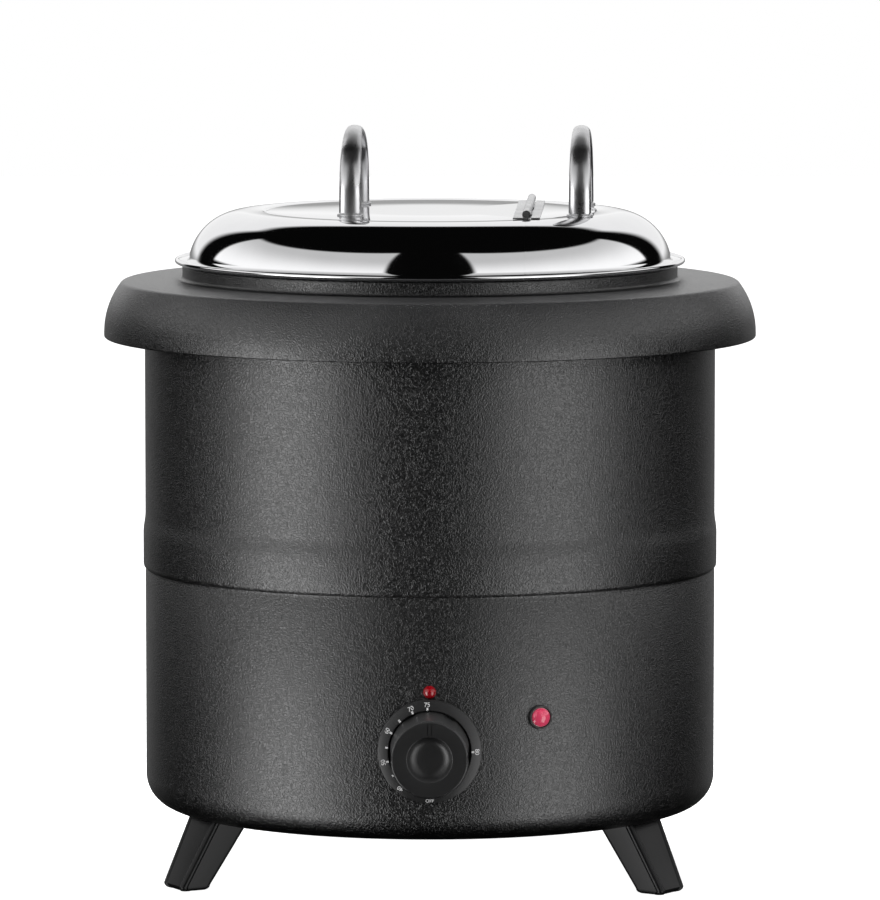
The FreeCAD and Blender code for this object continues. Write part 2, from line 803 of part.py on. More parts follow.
def sensor():
    """Bulb, clip and capillary of the control thermostat."""
    x = -10.0
    bulb_radius = 3.2
    height = plate_low - bulb_radius
    bulb = rod("sensor_bulb", bulb_radius, 64, (x, -32, height), -FORWARD)
    saddle = rod("clip_saddle", bulb_radius + 0.9, 12, (x, -6, height), -FORWARD)
    saddle_bore = rod("clip_bore", bulb_radius + 0.05, 12, (x, -6, height), -FORWARD)
    upper = block("clip_upper", (x - 6, -6, height), (12, 12, 8))
    hoop = without("clip_hoop", saddle, saddle_bore, upper)
    ears = [
        block("clip_ear", (x + bulb_radius + 0.1, -6, height), (0.8, 12, bulb_radius)),
        block("clip_ear", (x - bulb_radius - 0.9, -6, height), (0.8, 12, bulb_radius)),
        block("clip_foot", (x - bulb_radius - 8, -6, plate_low - 0.8), (8, 12, 0.8)),
    ]
    clip = fused("bulb_clip", hoop, *ears)
    run = 48.0
    capillary = bent_rod(
        "capillary_tube",
        0.9,
        5,
        (x, -139, thermostat_low),
        (x, -139, run),
        (x, -52, run),
        (x, -44, height),
        (x, -32, height),
    )
    return [bulb, clip, capillary]


# ---------------------------------------------------------------- controls


def thermostat():
    """Capillary thermostat on a shaped spacer behind the drum wall, with its two screws."""
    half_width = thermostat_width / 2
    half_height = thermostat_height / 2
    face = thermostat_face
    spacer_block = block(
        "spacer_block",
        (-half_width, -drum_radius, knob_height - 13),
        (thermostat_width, drum_radius - face, 26),
    )
    bore_cylinder = rod("drum_inside", drum_inner, 60, (0, 0, knob_height - 30))
    spacer_solid = within("spacer_solid", spacer_block, bore_cylinder)
    spacer_holes = [rod("spacer_bore", 5.1, 10, front(0, knob_height, face - 1), FORWARD)]
    case = block(
        "thermostat_case",
        (-half_width, -face, knob_height - half_height),
        (thermostat_width, thermostat_depth, thermostat_height),
    )
    bush = rod("thermostat_bush", 5.0, 5.5, front(0, knob_height, face), FORWARD)
    bush_bore = rod(
        "thermostat_bush_bore",
        shaft_radius + running_gap,
        20,
        front(0, knob_height, face - 12),
        FORWARD,
    )
    case_holes = [bush_bore]
    tabs = [
        block("thermostat_tab", (x, -140, thermostat_low - 6), (6.3, 0.8, 8))
        for x in (0.0, 9.0)
    ]
    screws = []
    for side in (-1, 1):
        offset = thermostat_screw_offset * side
        at = front(offset, knob_height, face - 4)
        case_holes.append(rod("case_thread", 2.05, 6, at, FORWARD))
        spacer_holes.append(rod("spacer_hole", 2.1, 10, at, FORWARD))
        seat = leg(drum_radius, thermostat_screw_offset - 3)
        screw_at = front(offset, knob_height, seat + 0.02)
        screws.append(screw("thermostat_screw", 2.0, 6.5, 3.0, 0.7, screw_at, -FORWARD))
    solid = fused("thermostat_solid", case, bush, *tabs)
    return [
        without("thermostat_spacer", spacer_solid, *spacer_holes),
        without("thermostat_body", solid, *case_holes),
        compound("thermostat_screws", screws),
    ]


def thermostat_shaft():
    """Round shaft with a flat that keys the knob."""
    inner_end = thermostat_face - 10
    outer_end = drum_radius + knob_clearance + 14
    start = front(0, knob_height, inner_end)
    shaft = rod("shaft_round", shaft_radius, outer_end - inner_end, start, FORWARD)
    flat = block(
        "shaft_flat",
        (-4, -outer_end - 1, knob_height + shaft_radius - 0.9),
        (8, 13, 4),
    )
    spring = block(
        "knob_spring",
        (-1.2, -outer_end + 1, knob_height + shaft_radius - 0.85),
        (2.4, 9, 0.5),
    )
    return [without("thermostat_shaft", shaft, flat), spring]


def control_knob():
    """Moulded knob: graduated skirt, fluted grip, dished face and a pointer groove."""
    skirt, grip = knob_skirt_radius, knob_grip_radius
    front_edge = grip - 1.2
    back = knob_clearance
    bore = shaft_radius + running_gap
    dish_low = knob_depth - knob_dish_depth
    spread = knob_dish_radius * knob_dish_radius + knob_dish_depth * knob_dish_depth
    dish_curve = spread / (knob_dish_depth * 2)
    edge_round = 2.0
    body = turned(
        "knob_turned",
        (bore, back),
        (skirt - 0.6, back),
        (skirt, back + 0.6),
        (skirt, back + 2.6),
        (skirt - 0.8, back + 3.4),
        (grip + 0.5, back + 4.2),
        (grip, back + 5.0),
        (front_edge, knob_depth - edge_round),
        (
            front_edge - edge_round,
            knob_depth,
            front_edge - edge_round,
            knob_depth - edge_round,
            "ccw",
        ),
        (knob_dish_radius, knob_depth),
        (0, dish_low, 0, dish_low + dish_curve, "cw"),
        (0, knob_bore_depth),
        (bore, knob_bore_depth),
    )
    flutes = []
    flute_radius = 12.0
    flute_depth = 0.9
    for number in range(KNOB_FLUTES):
        azimuth = 90 + (number + 0.5) * 360 / KNOB_FLUTES
        at = around(grip + flute_radius - flute_depth, azimuth, back + 6)
        flutes.append(rod("knob_flute", flute_radius, knob_depth, at))
    pointer = block("knob_pointer", (-1.3, knob_dish_radius - 2, knob_depth - 0.5), (2.6, 14, 2))
    knob = without("control_knob", body, pointer, *flutes)
    return place(knob, (0, -drum_radius, knob_height), FreeCAD.Rotation(UP, FORWARD))


def pilot_lamp():
    direction = lamp_direction()
    outer = drum_radius
    body = rod("lamp_tube", lamp_body_radius, 19, lamp_point(outer - 18), direction)
    tabs = [
        rod("lamp_pin", 0.9, 3, (x, y, lamp_height + side * 2.5), direction)
        for side, (x, y, _) in ((s, lamp_point(outer - 21)) for s in (-1, 1))
    ]
    ring_solid = cone(
        "bezel_cone",
        lamp_bezel_radius,
        lamp_bezel_radius - 0.9,
        2.2,
        lamp_point(outer + running_gap),
        direction,
    )
    ring_bore = rod("bezel_bore", lamp_body_radius + 0.05, 6, lamp_point(outer - 1), direction)
    lens_radius, lens_rim, dome_radius = 4.7, 1.6, 6.0
    dome_centre = lens_rim - math.sqrt(dome_radius**2 - lens_radius**2)
    lens = turned(
        "pilot_lamp_lens",
        (0, 0),
        (lens_radius, 0),
        (lens_radius, lens_rim),
        (0, dome_centre + dome_radius, 0, dome_centre, "ccw"),
    )
    place(lens, lamp_point(outer + 1), FreeCAD.Rotation(UP, direction))
    nut_at = lamp_point(drum_inner - 3.4)
    nut_bore = lamp_body_radius + running_gap
    back_nut = nut("pilot_lamp_nut", 14.0, 3.0, nut_bore, nut_at, direction)
    return [
        fused("pilot_lamp_body", body, *tabs),
        without("pilot_lamp_bezel", ring_solid, ring_bore),
        lens,
        back_nut,
    ]


def index_marker():
    """Red moulded bead that the dial is read against, with a stem through the drum."""
    stem_radius, stem_length = 2.0, 4.0
    bead = turned(
        "index_marker",
        (0, -stem_length),
        (stem_radius, -stem_length),
        (stem_radius, 0.05),
        (marker_radius, 0.05),
        (0, marker_radius + 0.05, 0, 0.05, "ccw"),
    )
    at = front(0, marker_height, drum_radius)
    return place(bead, at, FreeCAD.Rotation(UP, FORWARD))


def mains_inlet():
    """Cord gland with its nut, and the terminal block that the lead would reach."""
    wall = drum_radius
    backward = -FORWARD
    inside = 16
    overrun = 1

    def on_axis(depth):
        return (0, depth, gland_height)

    tube = rod("gland_tube", gland_radius, inside, on_axis(wall - inside), backward)
    collar = rod(
        "gland_collar", gland_collar_radius, gland_collar_height, on_axis(wall), backward
    )
    snout_start = wall + gland_collar_height
    snout = cone(
        "gland_snout", 8.4, 6.2, gland_tip - snout_start, on_axis(snout_start), backward
    )
    bore_start = wall - inside - overrun
    bore_length = gland_tip - bore_start + overrun
    bore = rod("gland_hole", gland_bore, bore_length, on_axis(bore_start), backward)
    solid = fused("gland_solid", tube, collar, snout)
    nut_at = on_axis(drum_inner - 5.8)
    back_nut = nut("gland_nut", 21.0, 5.0, gland_radius + running_gap, nut_at, backward)
    block_low = (-18, 77, drum_bottom)
    block_body = block("terminal_body", block_low, (36, 16, 14))
    wire_holes = [
        rod("terminal_hole", 1.6, 20, (x, 75, drum_bottom + 6), backward)
        for x in (-11.0, 0.0, 11.0)
    ]
    screw_holes = [
        rod("terminal_screw_hole", 1.8, 5, (x, 85, drum_bottom + 10))
        for x in (-11.0, 0.0, 11.0)
    ]
    return [
        without("cord_gland", solid, bore),
        back_nut,
        without("terminal_block", block_body, *wire_holes, *screw_holes),
    ]


def internal_leads():
    """Insulated leads between the terminal block, controls, element and earth."""
    terminal = drum_bottom + 6
    front_tab = thermostat_low - 6
    cutout_tab = plate_low - 14
    floor = 42.0
    gap, gap_azimuth = 36.0, 45.0
    end_1 = around(element_circle, gap_azimuth - gap / 2, element_end_low)
    end_2 = around(element_circle, gap_azimuth + gap / 2, element_end_low)
    bend = 6
    tab_y = -139.6
    lamp_in = lamp_point(drum_radius - 19.6)
    return [
        bent_rod(
            "lead_line",
            lead_radius,
            bend,
            (-11, 77, terminal),
            (-11, 55, terminal),
            (-20, -60, 41),
            (3, -125, 41),
            (3.15, tab_y, 48),
            (3.15, tab_y, front_tab),
        ),
        bent_rod(
            "lead_switched",
            lead_radius,
            bend,
            (12.15, tab_y, front_tab),
            (12.15, tab_y, 47),
            (14, -120, 45),
            (20, -30, 45),
            (22, 0, 44),
            (22, 0, cutout_tab),
        ),
        bent_rod(
            "lead_cutout",
            lead_radius,
            bend,
            (30, 0, cutout_tab),
            (30, 0, 44),
            (36, 10, 40.5),
            (55, 24, 39.5),
            (end_1[0], end_1[1], 39.5),
            (end_1[0], end_1[1], element_end_low),
        ),
        bent_rod(
            "lead_neutral",
            lead_radius,
            bend,
            (0, 77, terminal),
            (0, 66, terminal),
            (16, 56, 40),
            (end_2[0], end_2[1], 38.5),
            (end_2[0], end_2[1], element_end_low),
        ),
        bent_rod(
            "lead_earth",
            lead_radius,
            3,
            (11, 77, terminal),
            (11, 69, terminal),
            (28, 68, 41),
            (32, 73, 40.4),
            (32, 81.9, 40.4),
        ),
        bent_rod(
            "lead_lamp",
            lead_radius,
            bend,
            (*lamp_in[:2], lamp_height - 3.5),
            (*lamp_in[:2], 80),
            (50, -126, 55),
            (40, -90, 39),
            (10, 40, 39),
            (5.5, 64, 39),
            (5.5, 77, 39),
        ),
    ]


# ---------------------------------------------------------------- pot and lid


def food_pot():
    """Deep-drawn pot that hangs by its flange on the rim's seat."""
    inner = pot_radius - pot_sheet
    flat = pot_radius - pot_corner
    corner_height = pot_bottom + pot_corner
    lip = pot_radius + pot_lip_round
    lip_height = neck_top - pot_lip_round
    return turned(
        "food_pot",
        (pot_flange_radius, pot_top),
        (pot_flange_radius, neck_top),
        (lip, neck_top),
        (pot_radius, lip_height, lip, lip_height, "ccw"),
        (pot_radius, corner_height),
        (flat, pot_bottom, flat, corner_height, "cw"),
        (0, pot_bottom),
        (0, pot_bottom + pot_sheet),
        (flat, pot_bottom + pot_sheet),
        (inner, corner_height, flat, corner_height, "ccw"),
        (inner, lip_height),
        (lip, pot_top, lip, lip_height, "cw"),
    )


def lid_turned(name, sweep):
    """The domed lid, centred on +X: rolled edge, flange, round shoulder and flat top."""
    under_top = lid_top - lid_sheet
    flange_top = lid_base + lid_sheet
    shoulder_centre = lid_top - lid_shoulder
    inner_shoulder = lid_shoulder - lid_sheet
    outer_foot = lid_flat_radius + leg(lid_shoulder, flange_top - shoulder_centre)
    inner_foot = lid_flat_radius + leg(inner_shoulder, lid_base - shoulder_centre)
    roll_low = lid_base - lid_roll_drop
    roll_high = roll_low + lid_roll_height
    roll_in = lid_radius - lid_roll_width
    edge = lid_roll_width / 2
    groove = lid_groove_radius
    return turned(
        name,
        (roll_in, lid_base),
        (roll_in, roll_low + 0.3),
        (roll_in + 0.3, roll_low),
        (lid_radius - edge, roll_low),
        (lid_radius, roll_low + edge),
        (lid_radius, roll_high - edge),
        (lid_radius - edge, roll_high),
        (roll_in - edge, roll_high - edge),
        (roll_in - edge, flange_top),
        (outer_foot, flange_top),
        (lid_flat_radius, lid_top, lid_flat_radius, shoulder_centre, "ccw"),
        (groove + 2, lid_top),
        (groove + 1, lid_top - lid_groove_depth),
        (groove - 1, lid_top - lid_groove_depth),
        (groove - 2, lid_top),
        (0, lid_top),
        (0, under_top),
        (groove - 2, under_top),
        (groove - 1, under_top - lid_groove_depth),
        (groove + 1, under_top - lid_groove_depth),
        (groove + 2, under_top),
        (lid_flat_radius, under_top),
        (inner_foot, lid_base, lid_flat_radius, shoulder_centre, "cw"),
        sweep=sweep,
    )


def on_lid(item):
    """Turns a finished lid piece with the lid, which sits slightly round from square."""
    whole = doc.addObject("Part::Compound", item.Name + "_on_lid")
    whole.Links = [item]
    label = item.Label
    item.Label = label + "_square"
    whole.Label = label
    place(whole, rotation=FreeCAD.Rotation(UP, -lid_turn.value))
    return whole


def lid_panel(label, handle_at, keep_from, keep_to, sweep=360):
    """One side of the parted lid, with its two handle screw holes."""
    slab = block(
        label + "_side",
        (keep_from, -200, lid_base - 20),
        (size(keep_to) - keep_from, 400, 60),
    )
    panel = within(label + "_panel", lid_turned(label + "_turned", sweep), slab)
    holes = [
        rod(label + "_hole", 2.1, 12, (handle_at, handle_half_span * side, lid_top - 6))
        for side in (-1, 1)
    ]
    return without(label, panel, *holes)


def arch_edges():
    """Centre line of a handle in its own plane: two legs, two corners and a flat crown."""
    apex = handle_apex.value - handle_apex_half_depth.value
    corner, crown = handle_corner.value, handle_crown.value
    half = handle_half_span.value
    centre_y = half - corner
    crown_centre = apex - crown
    corner_height = crown_centre + math.sqrt((crown - corner) ** 2 - centre_y**2)
    reach = crown / (crown - corner)
    join = Vector(0, centre_y * reach, crown_centre + (corner_height - crown_centre) * reach)
    middle = math.atan2(join.z - corner_height, join.y - centre_y) / 2
    corner_middle = Vector(
        0,
        centre_y + corner * math.cos(middle),
        corner_height + corner * math.sin(middle),
    )
    foot = Vector(0, half, ring_top.value)
    knee = Vector(0, half, corner_height)
    top = Vector(0, 0, apex)
    crown_half = math.atan2(join.y, join.z - crown_centre) / 2
    crown_middle = Vector(
        0, crown * math.sin(crown_half), crown_centre + crown * math.cos(crown_half)
    )
    return [
        Part.LineSegment(foot, knee).toShape(),
        Part.Arc(knee, corner_middle, join).toShape(),
        Part.Arc(join, crown_middle, top).toShape(),
    ]


def ellipse_wire(centre, normal, half_width, half_depth):
    """An elliptical section, wide along X."""
    ellipse = Part.Ellipse(Vector(0, 0, 0), half_width, half_depth)
    edge = ellipse.toShape()
    facing = FreeCAD.Rotation(Vector(1, 0, 0), Vector(), normal, "XZY")
    edge.Placement = FreeCAD.Placement(centre, facing)
    return Part.Wire([edge])


def handle_solid(name):
    """Half an arch swept through three ellipses, then mirrored and joined."""
    spine = Part.Wire(arch_edges())
    apex = Vector(0, 0, handle_apex.value - handle_apex_half_depth.value)
    foot = Vector(0, handle_half_span.value, ring_top.value)
    sections = [
        ellipse_wire(foot, UP, handle_foot_half_width.value, handle_foot_half_depth.value),
        ellipse_wire(
            apex,
            Vector(0, -1, 0),
            handle_apex_half_width.value,
            handle_apex_half_depth.value,
        ),
    ]
    half = spine.makePipeShell(sections, True, False)
    whole = half.fuse(half.mirror(Vector(0, 0, 0), Vector(0, 1, 0))).removeSplitter()
    item = doc.addObject("Part::Feature", name)
    item.Shape = whole
    return item


def handle_set(label, at):
    """A handle with its base rings and the screws that hold it from under the lid."""
    under = lid_top - lid_sheet
    arch = place(handle_solid(label + "_arch"), (at, 0, 0))
    bores = []
    rings = []
    screws = []
    for side in (-1, 1):
        y = handle_half_span * side
        bores.append(rod(label + "_bore", 2.05, 10.2, (at, y, ring_top)))
        washer = cone(
            label + "_ring",
            handle_ring_radius,
            handle_ring_radius - 0.6,
            handle_ring_height,
            (at, y, lid_top),
        )
        hole = rod(label + "_ring_hole", 2.1, 6, (at, y, lid_top - 2))
        rings.append(without(label + "_washer", washer, hole))
        shank = lid_sheet + handle_ring_height + 9.5
        screws.append(screw(label + "_screw", 2.0, shank, 3.8, 2.4, (at, y, under), UP))
    return [
        on_lid(without(label, arch, *bores)),
        on_lid(compound(label + "_rings", rings)),
        on_lid(compound(label + "_screws", screws)),
    ]


def hinge_leaf(label, side, knuckle_numbers):
    """One spot-welded leaf: a strip on the lid with alternate knuckles of the barrel."""
    pitch = hinge_length / HINGE_KNUCKLES
    reach = hinge_radius + side_gap
    strip_x = lid_seam + reach if side > 0 else lid_seam - hinge_leaf_width
    strip = block(
        label + "_strip",
        (strip_x, -hinge_length / 2, lid_top),
        (hinge_leaf_width - reach, hinge_length, hinge_leaf_sheet),
    )
    pieces = [strip]
    for number in knuckle_numbers:
        start = -hinge_length / 2 + pitch * number + side_gap / 2
        length = pitch - side_gap
        at = (lid_seam, start, hinge_height)
        pieces.append(rod(label + "_knuckle", hinge_radius, length, at, -FORWARD))
        tongue_x = lid_seam if side > 0 else lid_seam - reach - 1
        pieces.append(
            block(
                label + "_tongue",
                (tongue_x, start, lid_top),
                (reach + 1, length, hinge_leaf_sheet),
            )
        )
    solid = fused(label + "_solid", *pieces)
    at = (lid_seam, -hinge_length, hinge_height)
    bore = rod(label + "_bore", hinge_pin_radius + running_gap, hinge_length * 2, at, -FORWARD)
    return on_lid(without(label, solid, bore))


def lid():
    half_gap = lid_seam_gap / 2
    main = lid_panel("lid_main", main_handle_at, -200, lid_seam - half_gap)
    flap = lid_panel("lid_flap", flap_handle_at, lid_seam + half_gap, 200, 160)
    pin = rod(
        "hinge_pin",
        hinge_pin_radius,
        hinge_length - 1,
        (lid_seam, -hinge_length / 2 + 0.5, hinge_height),
        -FORWARD,
    )
    return [
        on_lid(main),
        on_lid(flap),
        hinge_leaf("hinge_leaf_main", -1, range(0, HINGE_KNUCKLES, 2)),
        hinge_leaf("hinge_leaf_flap", 1, range(1, HINGE_KNUCKLES, 2)),
        on_lid(pin),
        *handle_set("main_handle", main_handle_at),
        *handle_set("flap_handle", flap_handle_at),
    ]


# ---------------------------------------------------------------- assembly and export


def build():
    return [
        *outer_shell(),
        *rim_cover(),
        *feet(),
        *base(),
        water_pan(),
        insulation_blanket(),
        *heater(),
        thermal_cutout(),
        *sensor(),
        *thermostat(),
        *thermostat_shaft(),
        control_knob(),
        *pilot_lamp(),
        index_marker(),
        *mains_inlet(),
        *internal_leads(),
        food_pot(),
        *lid(),
    ]


def check(sub_parts):
    failed = [o.Label for o in doc.Objects if {"Invalid", "Error"} & set(o.State)]
    if failed:
        raise RuntimeError(f"failed features: {failed}")
    for item in sub_parts:
        if item.Shape.isNull() or not item.Shape.isValid() or not item.Shape.Solids:
            raise RuntimeError(f"{item.Label} has no valid shape")


def export(sub_parts):
    os.makedirs(PARTS_FOLDER, exist_ok=True)
    for item in sub_parts:
        item.Shape.exportStep(os.path.join(PARTS_FOLDER, item.Label + ".step"))
        box = item.Shape.BoundBox
        print(
            f"{item.Label:22} solids {len(item.Shape.Solids)} volume {item.Shape.Volume / 1000:9.2f} cm3"
            f"  z {box.ZMin:7.2f} to {box.ZMax:7.2f}"
        )


sub_parts = build()
doc.recompute()
check(sub_parts)
export(sub_parts)
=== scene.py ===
import json
import math
from typing import NamedTuple

import bmesh
import bpy
from mathutils import Matrix, Vector


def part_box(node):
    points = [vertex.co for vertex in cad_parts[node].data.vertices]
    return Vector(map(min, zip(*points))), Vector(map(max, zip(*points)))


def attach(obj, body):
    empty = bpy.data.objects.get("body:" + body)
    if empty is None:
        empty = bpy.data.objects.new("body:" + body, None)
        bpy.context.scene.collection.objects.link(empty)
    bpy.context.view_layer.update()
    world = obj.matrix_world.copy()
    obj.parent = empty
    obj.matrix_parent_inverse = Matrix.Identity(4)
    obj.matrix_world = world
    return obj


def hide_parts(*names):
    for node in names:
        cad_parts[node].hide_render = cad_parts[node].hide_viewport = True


# Looks of the soup kettle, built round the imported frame. Everything is in metres, +Z up, with
# the control knob at -Y. Profiles of turned pieces are lists of (radius, height) points.

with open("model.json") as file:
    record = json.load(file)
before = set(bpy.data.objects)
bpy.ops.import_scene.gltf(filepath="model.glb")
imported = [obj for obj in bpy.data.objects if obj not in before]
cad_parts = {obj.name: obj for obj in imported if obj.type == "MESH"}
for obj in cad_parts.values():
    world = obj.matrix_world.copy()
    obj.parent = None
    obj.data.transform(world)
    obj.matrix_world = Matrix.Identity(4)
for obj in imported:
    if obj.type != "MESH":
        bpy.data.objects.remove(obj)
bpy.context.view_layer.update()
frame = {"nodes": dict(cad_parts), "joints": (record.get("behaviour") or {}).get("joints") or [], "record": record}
MM = 0.001

# ---------------------------------------------------------------- places read from the frame

LOW, HIGH = 0, 1
X, Y, Z = 0, 1, 2


def corner(node, end, axis):
    """One coordinate of a node's box at rest."""
    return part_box(node)[end][axis]


SHEET = 1.0 * MM
DRUM_BOTTOM = corner("outer_shell", LOW, Z)
BAND_STEP = 1.1 * MM
DRUM_RADIUS = corner("outer_shell", HIGH, X) - BAND_STEP
DRUM_TOP = corner("outer_shell", HIGH, Z)
RIM_RADIUS = corner("rim_cover", HIGH, X)
RIM_LOW = corner("rim_cover", LOW, Z)
NECK_TOP = corner("rim_cover", HIGH, Z)
LID_TOP = corner("lid_main", HIGH, Z)
LID_LOW = corner("lid_main", LOW, Z)
HANDLE_APEX = corner("main_handle", HIGH, Z)
RING_TOP = corner("main_handle_rings", HIGH, Z)
HINGE = next(j for j in frame["joints"] if j["name"] == "flap_hinge")
KNOB = next(j for j in frame["joints"] if j["name"] == "knob_turn")
HINGE_AXIS = Vector(HINGE["axis"])
LID_TURN = math.atan2(HINGE_AXIS.x, HINGE_AXIS.y) - math.pi
HINGE_PLACE = Matrix.Rotation(LID_TURN, 3, "Z") @ Vector(HINGE["pos_m"])
LID_SPIN = Matrix.Rotation(-LID_TURN, 4, "Z")
KNOB_HEIGHT = KNOB["pos_m"][2]
LAMP_AZIMUTH = math.radians(22.0)

# sizes shared by more than one piece
FOOT_TOP_RADIUS = 125 * MM
FOOT_LOW_RADIUS = 144 * MM
HANDLE_HALF_SPAN = 48 * MM
SKIRT_RADIUS = 26.65 * MM
GRIP_RADIUS = 20.5 * MM
KNOB_DEPTH = 35 * MM


# ---------------------------------------------------------------- camera, floor and light


def make_camera():
    """A long lens four metres in front, a little above the lid, looking down at the drum."""
    aside, distance, height = 0.0053, 4.0, 0.616
    dip = 5.59
    data = bpy.data.cameras.new("camera")
    data.sensor_width = 36.0
    data.lens = 303.0
    camera = bpy.data.objects.new("camera", data)
    camera.location = (aside, -distance, height)
    camera.rotation_euler = (math.radians(90.0 - dip), 0.0, 0.0)
    bpy.context.collection.objects.link(camera)
    bpy.context.scene.camera = camera


class Graph:
    """Short hand for building a node tree."""

    def __init__(self, tree):
        self.tree = tree
        tree.nodes.clear()

    def add(self, kind, settings=None, **inputs):
        """Adds a node. Inputs go by name, or by place as i0, i1 and so on."""
        node = self.tree.nodes.new(kind)
        for name, value in (settings or {}).items():
            setattr(node, name, value)
        for name, value in inputs.items():
            self.feed(node, name, value)
        return node

    def feed(self, node, name, value):
        key = int(name[1:]) if name[0] == "i" and name[1:].isdigit() else name.replace("_", " ")
        socket = node.inputs[key]
        if isinstance(value, bpy.types.NodeSocket):
            self.tree.links.new(value, socket)
        else:
            socket.default_value = value

    def math(self, operation, first, second=0.0, third=0.0):
        node = self.add("ShaderNodeMath", {"operation": operation}, i0=first, i1=second, i2=third)
        return node.outputs[0]

    def smooth(self, value, low, high, to_low=0.0, to_high=1.0):
        """A soft step between two values."""
        node = self.add("ShaderNodeMapRange", {"interpolation_type": "SMOOTHSTEP"})
        for index, item in enumerate((value, low, high, to_low, to_high)):
            self.feed(node, f"i{index}", item)
        return node.outputs[0]

    def above(self, value, edge, soft):
        return self.smooth(value, edge - soft, edge + soft)

    def below(self, value, edge, soft):
        return self.smooth(value, edge - soft, edge + soft, 1.0, 0.0)

    def colours(self, factor, *stops):
        """A colour ramp from (position, grey or colour) stops."""
        node = self.add("ShaderNodeValToRGB", Fac=factor)
        elements = node.color_ramp.elements
        while len(elements) < len(stops):
            elements.new(0.5)
        for element, (position, colour) in zip(elements, stops):
            element.position = position
            element.color = as_colour(colour)
        return node.outputs[0]


def as_colour(colour):
    """A grey level or a red, green, blue triple as an opaque colour."""
    if isinstance(colour, (int, float)):
        return (colour, colour, colour, 1.0)
    return (*colour[:3], 1.0)


class Panel(NamedTuple):
    """A soft-edged patch of light in the studio. Angles are in degrees.

    Azimuths run from the camera, to +X, or to both sides alike when mirrored is set.
    The slope tilts the upper edge: degrees of height gained per degree towards near.
    """

    mirrored: bool
    near: float
    far: float
    soft: float
    low: float
    soft_low: float
    high: float
    soft_high: float
    slope: float
    strength: float


PANELS = (
    # the white wall behind, and its foot
    Panel(True, 148.0, 400.0, 4.0, 2.2, 3.3, 39.0, 3.0, 0.0, 0.95),
    Panel(True, 145.0, 400.0, 4.0, -14.0, 8.0, 3.0, 5.0, 0.0, 0.25),
    # crisp panels to each side for the lid, brighter low down
    Panel(True, 22.0, 128.0, 1.5, 9.5, 1.5, 41.0, 1.5, 0.17, 0.60),
    Panel(True, 22.0, 128.0, 1.5, 9.5, 1.5, 27.0, 16.0, 0.0, 0.58),
    # low strip lights that rake the drum from the left and the right
    Panel(False, -78.0, -42.0, 10.0, -50.0, 3.0, 6.0, 3.0, 0.0, 4.25),
    Panel(False, 31.0, 71.0, 10.0, -50.0, 3.0, 6.0, 3.0, 0.0, 2.6),
)


def make_world():
    """A dark studio with a white wall behind and soft panels to each side."""
    world = bpy.data.worlds.new("studio")
    bpy.context.scene.world = world
    world.use_nodes = True
    graph = Graph(world.node_tree)
    direction = graph.add("ShaderNodeTexCoord").outputs["Generated"]
    parts = graph.add("ShaderNodeSeparateXYZ", Vector=direction)
    forward = graph.math("MULTIPLY", parts.outputs[1], -1.0)
    azimuth = graph.math("ARCTAN2", parts.outputs[0], forward)
    degrees = graph.math("MULTIPLY", azimuth, 180.0 / math.pi)
    away = graph.math("ABSOLUTE", degrees)
    up = graph.math("MULTIPLY", graph.math("ARCSINE", parts.outputs[2]), 180.0 / math.pi)
    light = 0.002
    for panel in PANELS:
        angle = away if panel.mirrored else degrees
        enter = graph.above(angle, panel.near, panel.soft)
        leave = graph.below(angle, panel.far, panel.soft)
        across = graph.math("MULTIPLY", enter, leave)
        beyond = graph.math("SUBTRACT", angle, panel.far)
        tilted = graph.math("MULTIPLY_ADD", beyond, panel.slope, up)
        climb = graph.above(up, panel.low, panel.soft_low)
        fall = graph.below(tilted, panel.high, panel.soft_high)
        along = graph.math("MULTIPLY", climb, fall)
        shape = graph.math("MULTIPLY", across, along)
        light = graph.math("MULTIPLY_ADD", shape, panel.strength, light)
    studio = graph.add("ShaderNodeBackground", Color=as_colour(1.0), Strength=light)
    page = graph.add("ShaderNodeBackground", Color=as_colour(1.0), Strength=1.0)
    seen = graph.add("ShaderNodeLightPath").outputs["Is Camera Ray"]
    mixed = graph.add("ShaderNodeMixShader", i0=seen, i1=studio.outputs[0], i2=page.outputs[0])
    graph.add("ShaderNodeOutputWorld", Surface=mixed.outputs[0])


def make_overhead():
    """A soft lamp overhead for the upward faces, kept out of mirror reflections."""
    data = bpy.data.lights.new("overhead", "AREA")
    data.energy = 72.0
    data.size = 0.8
    lamp = bpy.data.objects.new("overhead", data)
    lamp.location = (0.0, 0.0, 1.6)
    lamp.visible_glossy = False
    bpy.context.collection.objects.link(lamp)


def make_floor():
    """A plain white floor that lights nothing."""
    size = 6.0
    mesh = bpy.data.meshes.new("floor")
    corners = [(-size, -size, 0), (size, -size, 0), (size, size, 0), (-size, size, 0)]
    mesh.from_pydata(corners, [], [(0, 1, 2, 3)])
    floor = bpy.data.objects.new("floor", mesh)
    bpy.context.collection.objects.link(floor)
    material, graph, shader = new_material("floor_white")
    graph.feed(shader, "Base Color", as_colour(0.55))
    graph.feed(shader, "Roughness", 0.9)
    graph.feed(shader, "Emission Color", as_colour(1.0))
    graph.feed(shader, "Emission Strength", 1.0)
    mesh.materials.append(material)
    floor.visible_glossy = False
    floor.visible_diffuse = False


# ---------------------------------------------------------------- materials


def new_material(name):
    material = bpy.data.materials.new(name)
    material.use_nodes = True
    graph = Graph(material.node_tree)
    shader = graph.add("ShaderNodeBsdfPrincipled")
    graph.add("ShaderNodeOutputMaterial", Surface=shader.outputs[0])
    return material, graph, shader


def place_of(graph):
    """Where a point of the piece lies, in metres."""
    return graph.add("ShaderNodeTexCoord").outputs["Object"]


def noise(graph, vector, scale, detail=3.0, roughness=0.5):
    settings = {"Vector": vector, "Scale": scale, "Detail": detail, "Roughness": roughness}
    return graph.add("ShaderNodeTexNoise", **settings).outputs[0]


